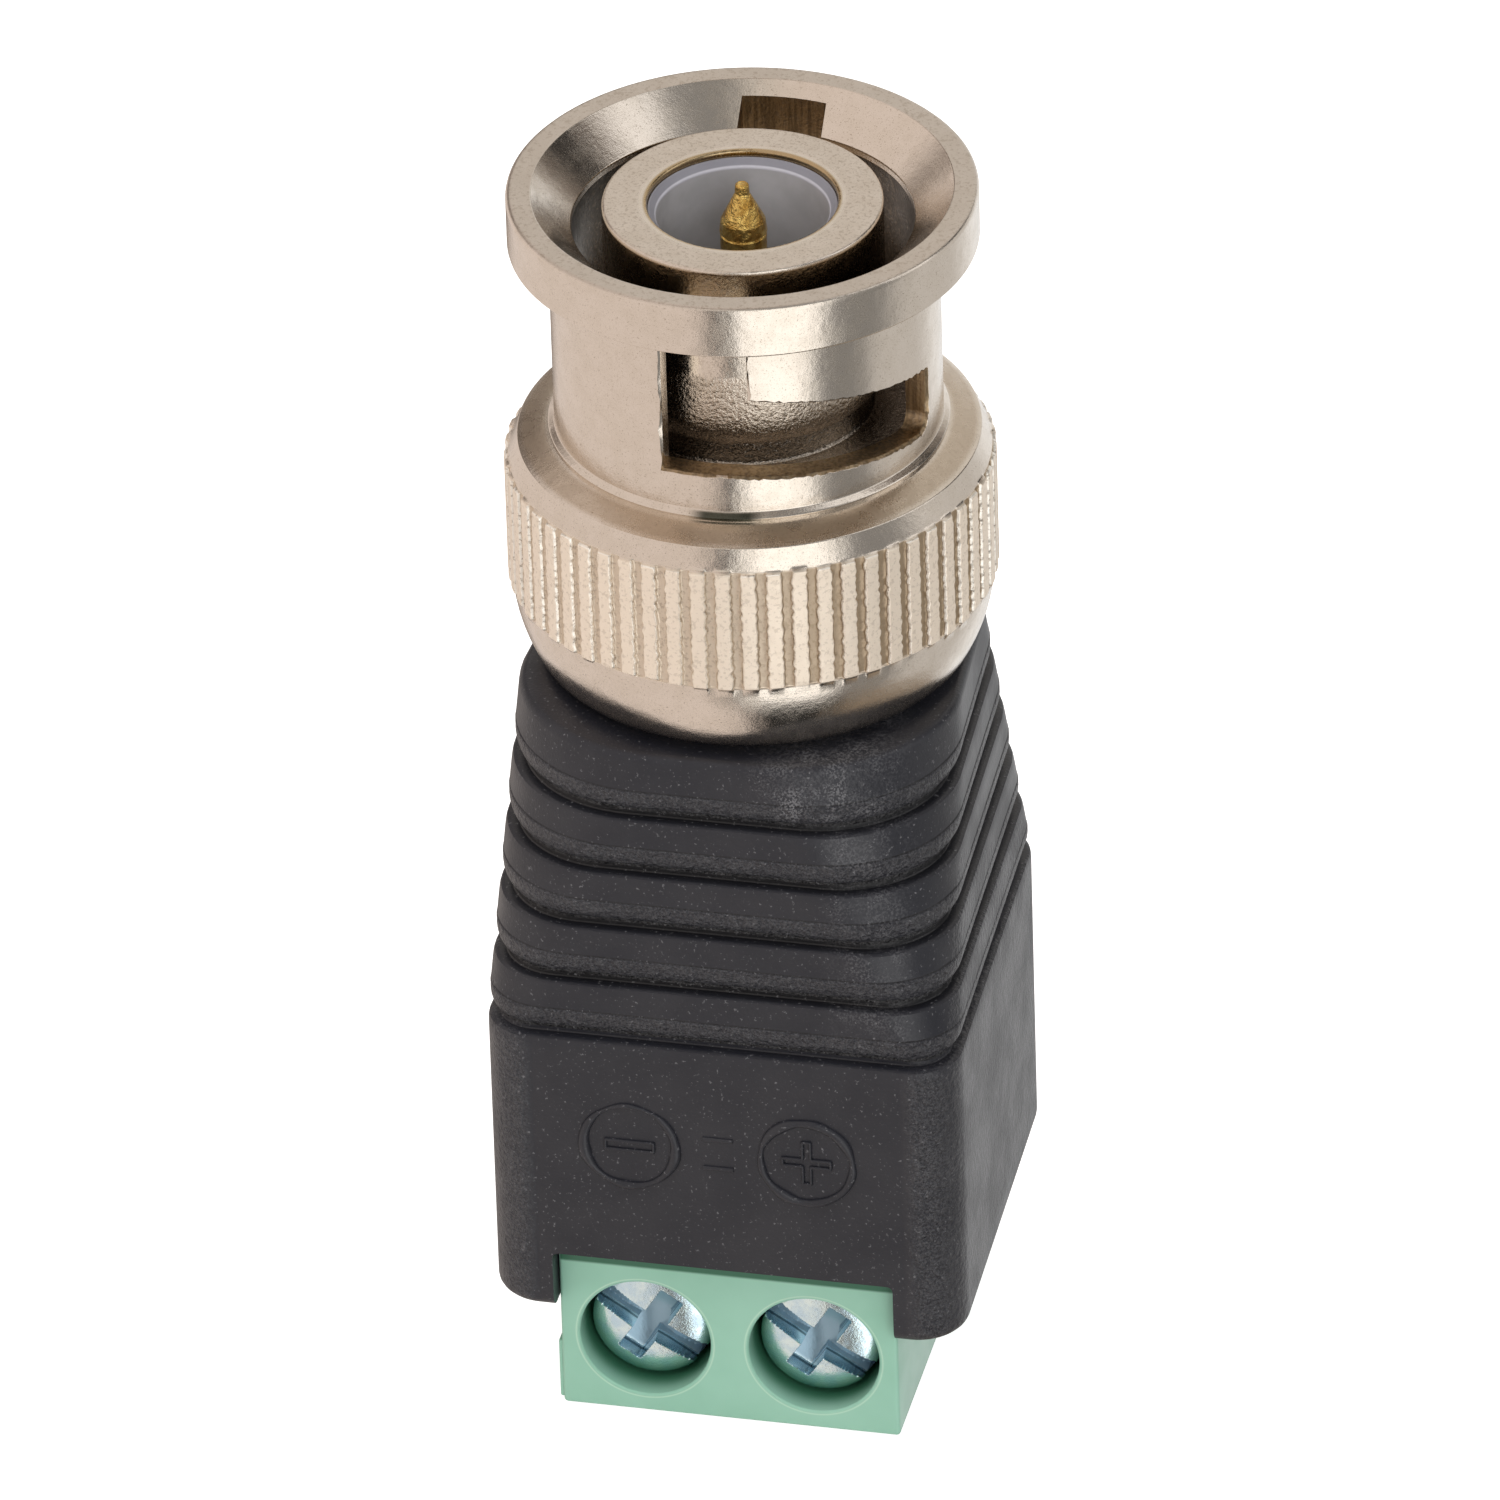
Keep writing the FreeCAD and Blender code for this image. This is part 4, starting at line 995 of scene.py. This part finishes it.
block = {
    "front": -6.2, "halfWidth": 5.08, "top": 7.6, "edge": 0.12, "screwX": 2.54, "screwZ": 2.57,
    "holeRadius": 1.97, "holeDepth": 2.5, "holeFlare": 0.05, "shankHole": 1.37,
    "chamberHalf": 1.85, "chamberY": (-3.1, 3.35), "chamberZ": (0.7, 4.47), "chamberRound": 0.08,
    "entryHalf": 1.65, "entryY": (0.65, 3.25), "entryFlare": 0.3, "entryTop": 1.3,
    "railX": (-5.21, -4.9), "railY": (0.15, 1.65), "railZ": (0.1, 2.1), "railRound": 0.06,    # Y behind the front
}
greenLook = {
    "base": (0.285, 0.545, 0.42), "pale": (0.315, 0.58, 0.455), "dirt": (0.20, 0.30, 0.16),
    # the colour of the painted shade in the holes and of the painted shadow under the lip
    "paintedShade": (0.02, 0.115, 0.06), "rim": (0.55, 0.75, 0.60),
    "shade": (-0.05, 0.95),      # depths between which the holes' walls turn to the painted shade
    "lipShadow": (5.08, 5.34),     # heights of the painted shadow line under the moulding's lip
}
blockLow, blockHigh = boxOf("terminal_housing")


def greenBlock(look):
    # mint plastic with faint clouds and dirt specks: painted shade darkens the holes inwards inside a pale rim,
    # and a painted shadow line runs under the moulding's lip
    material, tree, shader = newMaterial("greenBlock", IOR=1.5, Subsurface_Weight=0.05,
                                         Subsurface_Scale=0.0004, Subsurface_Radius=(0.6, 1.0, 0.8))
    x, y, z = parted(objectMillimetres(tree))
    offAxis = distance(x.absolute() - block["screwX"], z - block["screwZ"])
    depth, hole = y - block["front"], block["holeRadius"]
    inHole = (offAxis < hole + 0.1) * (depth < block["holeDepth"] + 0.1)
    shade = between(depth, *look["shade"]) * inHole
    front = depth < 0.02
    rim = front * span(offAxis, hole + 0.09, hole + 0.13, 0.02)
    lip = front * span(z, *look["lipShadow"], 0.05)
    spots = useGroup(tree, speckle, 0.10, 0.12, 2.5)
    colour = layered(look["base"], (spots["Clouds"], look["pale"]), (spots["Grain"] * 0.3, look["dirt"]),
                     (rim * 0.6, look["rim"]), (shade.most(lip) * 0.93, look["paintedShade"]))
    feed(shader, Base_Color=colour, Roughness=cloudy(spots, (0.36, 0.28)), Normal=bumps(spots["Height"], 0.004))
    return material


def bored(outline, columns, x, z):
    # a form turned about Z laid along Y, with its axis at (x, z)
    points, faces = turned(outline, columns, closed=False)
    return np.stack([points[:, 0] + x, points[:, 2], z - points[:, 1]], -1), faces


def entryForm(look, x):
    # the wire's way in from below: a box that widens downwards from the middle of its height
    flare, low, high = look["entryFlare"], x - look["entryHalf"], x + look["entryHalf"]
    front, back = look["entryY"]

    def place(u, v, w):
        grow = flare * np.interp(w, (0, 0.5, 1), (3, 0, 0))
        across = low - grow + u * (high - low + 2 * grow)
        along = front - grow + v * (back - front + 2 * grow)
        return np.stack([across, along, np.interp(w, (0, 0.5, 1), (-2 * flare, flare, look["entryTop"]))], -1)
    return boxShell((np.linspace(0, 1, 5), np.linspace(0, 1, 5), np.array([0, 0.5, 1])), place)


def blockCutters(look):
    # screw holes, the shanks' ways in, the cages' chambers and the wire entries, each at both screws
    face, radius, z = blockLow[1], look["holeRadius"], look["screwZ"]
    flare, floor, half = look["holeFlare"], face + look["holeDepth"], look["chamberHalf"]
    front, back = look["chamberY"]
    hole = roundedOutline([(0, face - 1, 0), (radius + flare + 1, face - 1, 0), (radius, face + flare, 0.03),
                           (radius, floor, 0.1), (0, floor, 0)], closed=False)
    shank, inner = look["shankHole"], front + 0.5
    shankWay = np.array([(0, face + 1), (shank, face + 1), (shank, inner), (0, inner)])
    sides = (-look["screwX"], look["screwX"])
    chambers = [roundedBox((x - half, front, look["chamberZ"][0]), (x + half, back, look["chamberZ"][1]),
                           look["chamberRound"]) for x in sides]
    return [joined([bored(hole, 96, x, z) for x in sides]), joined([bored(shankWay, 64, x, z) for x in sides]),
            joined(chambers), joined([entryForm(look, x) for x in sides])]


def blockForm(look):
    half = look["halfWidth"]
    return roundedBox((-half, blockLow[1], blockLow[2]), (half, blockHigh[1], look["top"]), look["edge"])


def railForm(look):
    # a thin rail down the block's left side
    low, high = zip(look["railX"], [blockLow[1] + y for y in look["railY"]], look["railZ"])
    return roundedBox(low, high, look["railRound"])


mint = greenBlock(greenLook)
blockMesh = cutMesh(makeMesh("blockForm", *blockForm(block)), blockCutters(block), 34)
addPiece("terminalBlockShell", blockMesh, mint, "plug", ["terminal_housing"])
addPiece("blockRail", makeMesh("rail", *railForm(block)), mint, "plug")
print("block made", len(blockMesh.polygons))


# clamp screws

screw = {"headRadius": 1.8, "crown": 0.35, "rows": 120, "columns": 220, "slotHalf": 0.33, "slotDepth": 0.75,
         "crossHalf": 0.36, "crossReach": 1.22, "crossDepth": 0.95, "wall": 0.07, "turn": 33.0,
         "shankRadius": 1.25, "headThickness": 1.5}
zincLook = {
    "bright": (0.84, 1.0, 1.0), "cloud": (0.66, 0.86, 0.98), "tarnish": (0.33, 0.30, 0.27),
    # the outline colour is the painted shade on the slots' walls
    "floor": (0.30, 0.44, 0.54), "outline": (0.05, 0.085, 0.10),
    "walls": (-5.08, -4.98),     # how far back the slots' walls lie, which take the painted shade
    "floors": (-4.97, -4.87),    # and where their floors begin
}


def zincPlate(look):
    # bluish plating with smeared clouds and tarnish specks, painted shade nearly black on the slots' walls,
    # greyer on their floors
    material, tree, shader = newMaterial("zincPlate", Metallic=1.0)
    y = parted(objectMillimetres(tree))[1]
    spots = useGroup(tree, speckle, 0.07, 0.3, 0.4)
    floor = between(y, *look["floors"])
    # the slots' walls take the painted shade, nearly black
    colour = layered(look["cloud"], (spots["Clouds"], look["bright"]), (spots["Grain"] * 0.3, look["tarnish"]),
                     (floor, look["floor"]), (span(y, *look["walls"], 0.02) * 0.7, look["outline"]))
    feed(shader, Base_Color=colour, Metallic=1.0 - floor * 0.5, Roughness=cloudy(spots, (0.24, 0.14)),
         Normal=bumps(spots["Height"], 0.006))
    return material


def screwSurface(look, node):
    # a domed disc whose depth drops inside a slot and a cross, then the head's side and the shank down to the tip
    low, high = boxOf(node)
    x, z = (low[0] + high[0]) / 2, (low[2] + high[2]) / 2
    top, tip = low[1], high[1]
    head, shank, wall, reach = look["headRadius"], look["shankRadius"], look["wall"], look["crossReach"]
    share = np.linspace(0, 1, look["rows"])[:, None]
    angle = np.linspace(0, 2 * pi, look["columns"], endpoint=False)[None, :]
    radius = head * np.sin(share * pi / 2 * 0.999)
    across, up = radius * np.cos(angle), radius * np.sin(angle)
    turn = np.radians(-look["turn"])
    along, aside = across * np.cos(turn) + up * np.sin(turn), -across * np.sin(turn) + up * np.cos(turn)

    def inside(value, half):
        return smoothStep((half + wall / 2 - np.abs(value)) / wall)

    taper = 1 - 0.12 * smoothStep(np.abs(along) / reach)
    long = inside(aside, look["slotHalf"]) * look["slotDepth"]
    arm = inside(aside, look["crossHalf"] * taper) * inside(along, reach)
    crossArm = inside(along, look["crossHalf"]) * inside(aside, reach)
    bowl = look["crossDepth"] * (1 - 0.45 * (radius / reach) ** 2)
    depth = np.maximum(long, np.maximum(arm, crossArm) * np.clip(bowl, 0.3, None))
    dome = look["crown"] * (1 - np.sqrt(np.clip(1 - (radius / head) ** 2, 0, 1)))
    rings = [np.stack([x + across, top + dome + np.minimum(depth, look["headThickness"]), z + up], -1)]
    under = top + look["headThickness"]
    for r, y in ((head, top + look["crown"] + 0.35), (head, under - 0.02), (shank, under),
                 (shank, tip - 0.1), (shank - 0.15, tip), (0, tip)):
        rings.append(np.stack([x + r * np.cos(angle), y + 0 * angle, z + r * np.sin(angle)], -1))
    points = np.concatenate(rings)
    return points.reshape(-1, 3), gridFaces(points.shape[0], look["columns"], False, True)


zinc = zincPlate(zincLook)
for sign in ("minus", "plus"):
    node = "terminal_screw_" + sign
    screwMesh = makeMesh("screw", *screwSurface(screw, node), 40)
    addPiece("clampScrew" + sign.title(), screwMesh, zinc, "screw_" + sign, [node])
print("screws made")


# floor, light and camera

studio = {
    "floorHalf": 3.0, "floorDrop": 0.02, "floorColour": (0.86, 0.86, 0.86, 1), "floorGlow": 0.75,
    "lamps": {"frontSoft": ((0.25, -0.55, 0.35), 1.0, 0.3), "topSoft": ((-0.1, -0.15, 0.6), 1.2, 0.3)},
    "cameraAt": (0.117922, -0.49216, 0.342294), "lens": 493.19,
    "right": (0.97584, 0.21682, -0.02679), "up": (-0.09462, 0.53001, 0.84268), "back": (0.19691, -0.81980, 0.53772),
    "light": {"mid": (0.79, 0.70, 0.65), "key": (1.45, 1.43, 1.40), "dark": (0.05, 0.047, 0.045),
              "patch": (0.26, 0.255, 0.25), "fair": (0.62, 0.6, 0.58), "white": (0.95, 0.95, 0.95),
              "soft": (0.74, 0.70, 0.65), "bright": (1.1, 1.08, 1.07), "umber": (0.28, 0.23, 0.19),
              "brown": (0.30, 0.24, 0.18), "black": (0.02, 0.02, 0.02), "dusk": (0.24, 0.20, 0.17),
              "shade": (0.15, 0.12, 0.10)},
    "zones": [                   # from below to overhead: (azimuth, light) stops, azimuth 0 at -Y and 90 at +X
        [(-180, "brown"), (-165, "mid"), (5, "mid"), (8, "black"), (60, "black"), (75, "brown"), (180, "brown")],
        [(-180, "white"), (-173, "white"), (-166, "dusk"), (-154, "dusk"), (-140, "mid"), (-7, "mid"), (-3, "dark"),
         (5, "dark"), (9, "key"), (48, "key"), (54, "patch"), (83, "patch"), (95, "fair"), (138, "fair"),
         (156, "white"), (180, "white")],
        [(-180, "soft"), (-156, "soft"), (-148, "shade"), (-126, "shade"), (-110, "mid"), (-7, "mid"), (-3, "dark"),
         (5, "dark"), (9, "key"), (50, "key"), (55, "patch"), (83, "patch"), (92, "bright"), (112, "bright"),
         (118, "black"), (137, "black"), (148, "dusk"), (158, "soft"), (180, "soft")],
        [(-180, "soft"), (-150, "mid"), (-30, "mid"), (0, "soft"), (20, "patch"), (70, "patch"), (82, "bright"),
         (106, "bright"), (112, "shade"), (130, "shade"), (140, "soft"), (180, "soft")],
        [(0, "umber"), (1, "umber")]],
    "seams": [(-0.79, -0.73), (0.14, 0.21), (0.55, 0.62), (0.95, 0.985)],      # sines of the elevations between them
}


def makeFloor(look):
    corners = np.array([[-1, -1], [1, -1], [1, 1], [-1, 1]]) * look["floorHalf"]
    points = np.column_stack([corners, np.full(4, -look["floorDrop"] * millimetre)])
    mesh = bpy.data.meshes.new("floor")
    mesh.from_pydata(points.tolist(), [], [(0, 1, 2, 3)])
    material, tree, shader = newMaterial("paleFloor", Roughness=0.9, Base_Color=look["floorColour"],
                                         Specular_IOR_Level=0.0, Emission_Color=(1, 1, 1, 1))
    seen = addField(tree, "ShaderNodeLightPath", output="Is Camera Ray")
    feed(shader, Emission_Strength=between(seen, 0.0, 1.0, (0.0, look["floorGlow"])))
    mesh.materials.append(material)
    floor = putInScene("floor", mesh)
    floor.visible_glossy = False


def makeWorld(look):
    # light by direction: zones one over the other, each a ramp of the azimuth
    world = bpy.data.worlds.new("studio")
    world.use_nodes = True
    tree = world.node_tree
    tree.nodes.clear()
    x, y, z = parted(addField(tree, "ShaderNodeTexCoord", output="Generated"))
    share = x.angle(y * -1.0) / (2 * pi) + 0.5
    fields = [ramp(share, [((degrees + 180) / 360, look["light"][name]) for degrees, name in stops])
              for stops in look["zones"]]
    light = layered(fields[0], *((between(z, *seam), above) for seam, above in zip(look["seams"], fields[1:])))
    seen = addField(tree, "ShaderNodeLightPath", output="Is Camera Ray")
    inputs = {"Color": blend(seen, light, (1, 1, 1)), "Strength": 1.0}
    addNode(tree, "ShaderNodeOutputWorld", {"Surface": addField(tree, "ShaderNodeBackground", inputs)})
    bpy.context.scene.world = world


def makeLight(name, at, power, size):
    lamp = bpy.data.lights.new(name, "AREA")
    lamp.shape, lamp.size, lamp.energy = "DISK", size, power
    holder = putInScene(name, lamp)
    holder.location = at
    holder.rotation_euler = (Vector((0, 0, 0.02)) - Vector(at)).to_track_quat("-Z", "Y").to_euler()
    holder.visible_glossy = False


def makeCamera(look):
    camera = bpy.data.cameras.new("camera")
    camera.lens, camera.sensor_width, camera.clip_start, camera.clip_end = look["lens"], 36.0, 0.01, 20.0
    holder = putInScene("camera", camera)
    turn = Matrix((look["right"], look["up"], look["back"])).transposed().to_4x4()
    holder.matrix_world = Matrix.Translation(look["cameraAt"]) @ turn
    bpy.context.scene.camera = holder


makeFloor(studio)
makeWorld(studio)
for name, settings in studio["lamps"].items():
    makeLight(name, *settings)
makeCamera(studio)
view = bpy.context.scene.view_settings
view.view_transform = "Standard"
view.look = "None"
print("studio made")
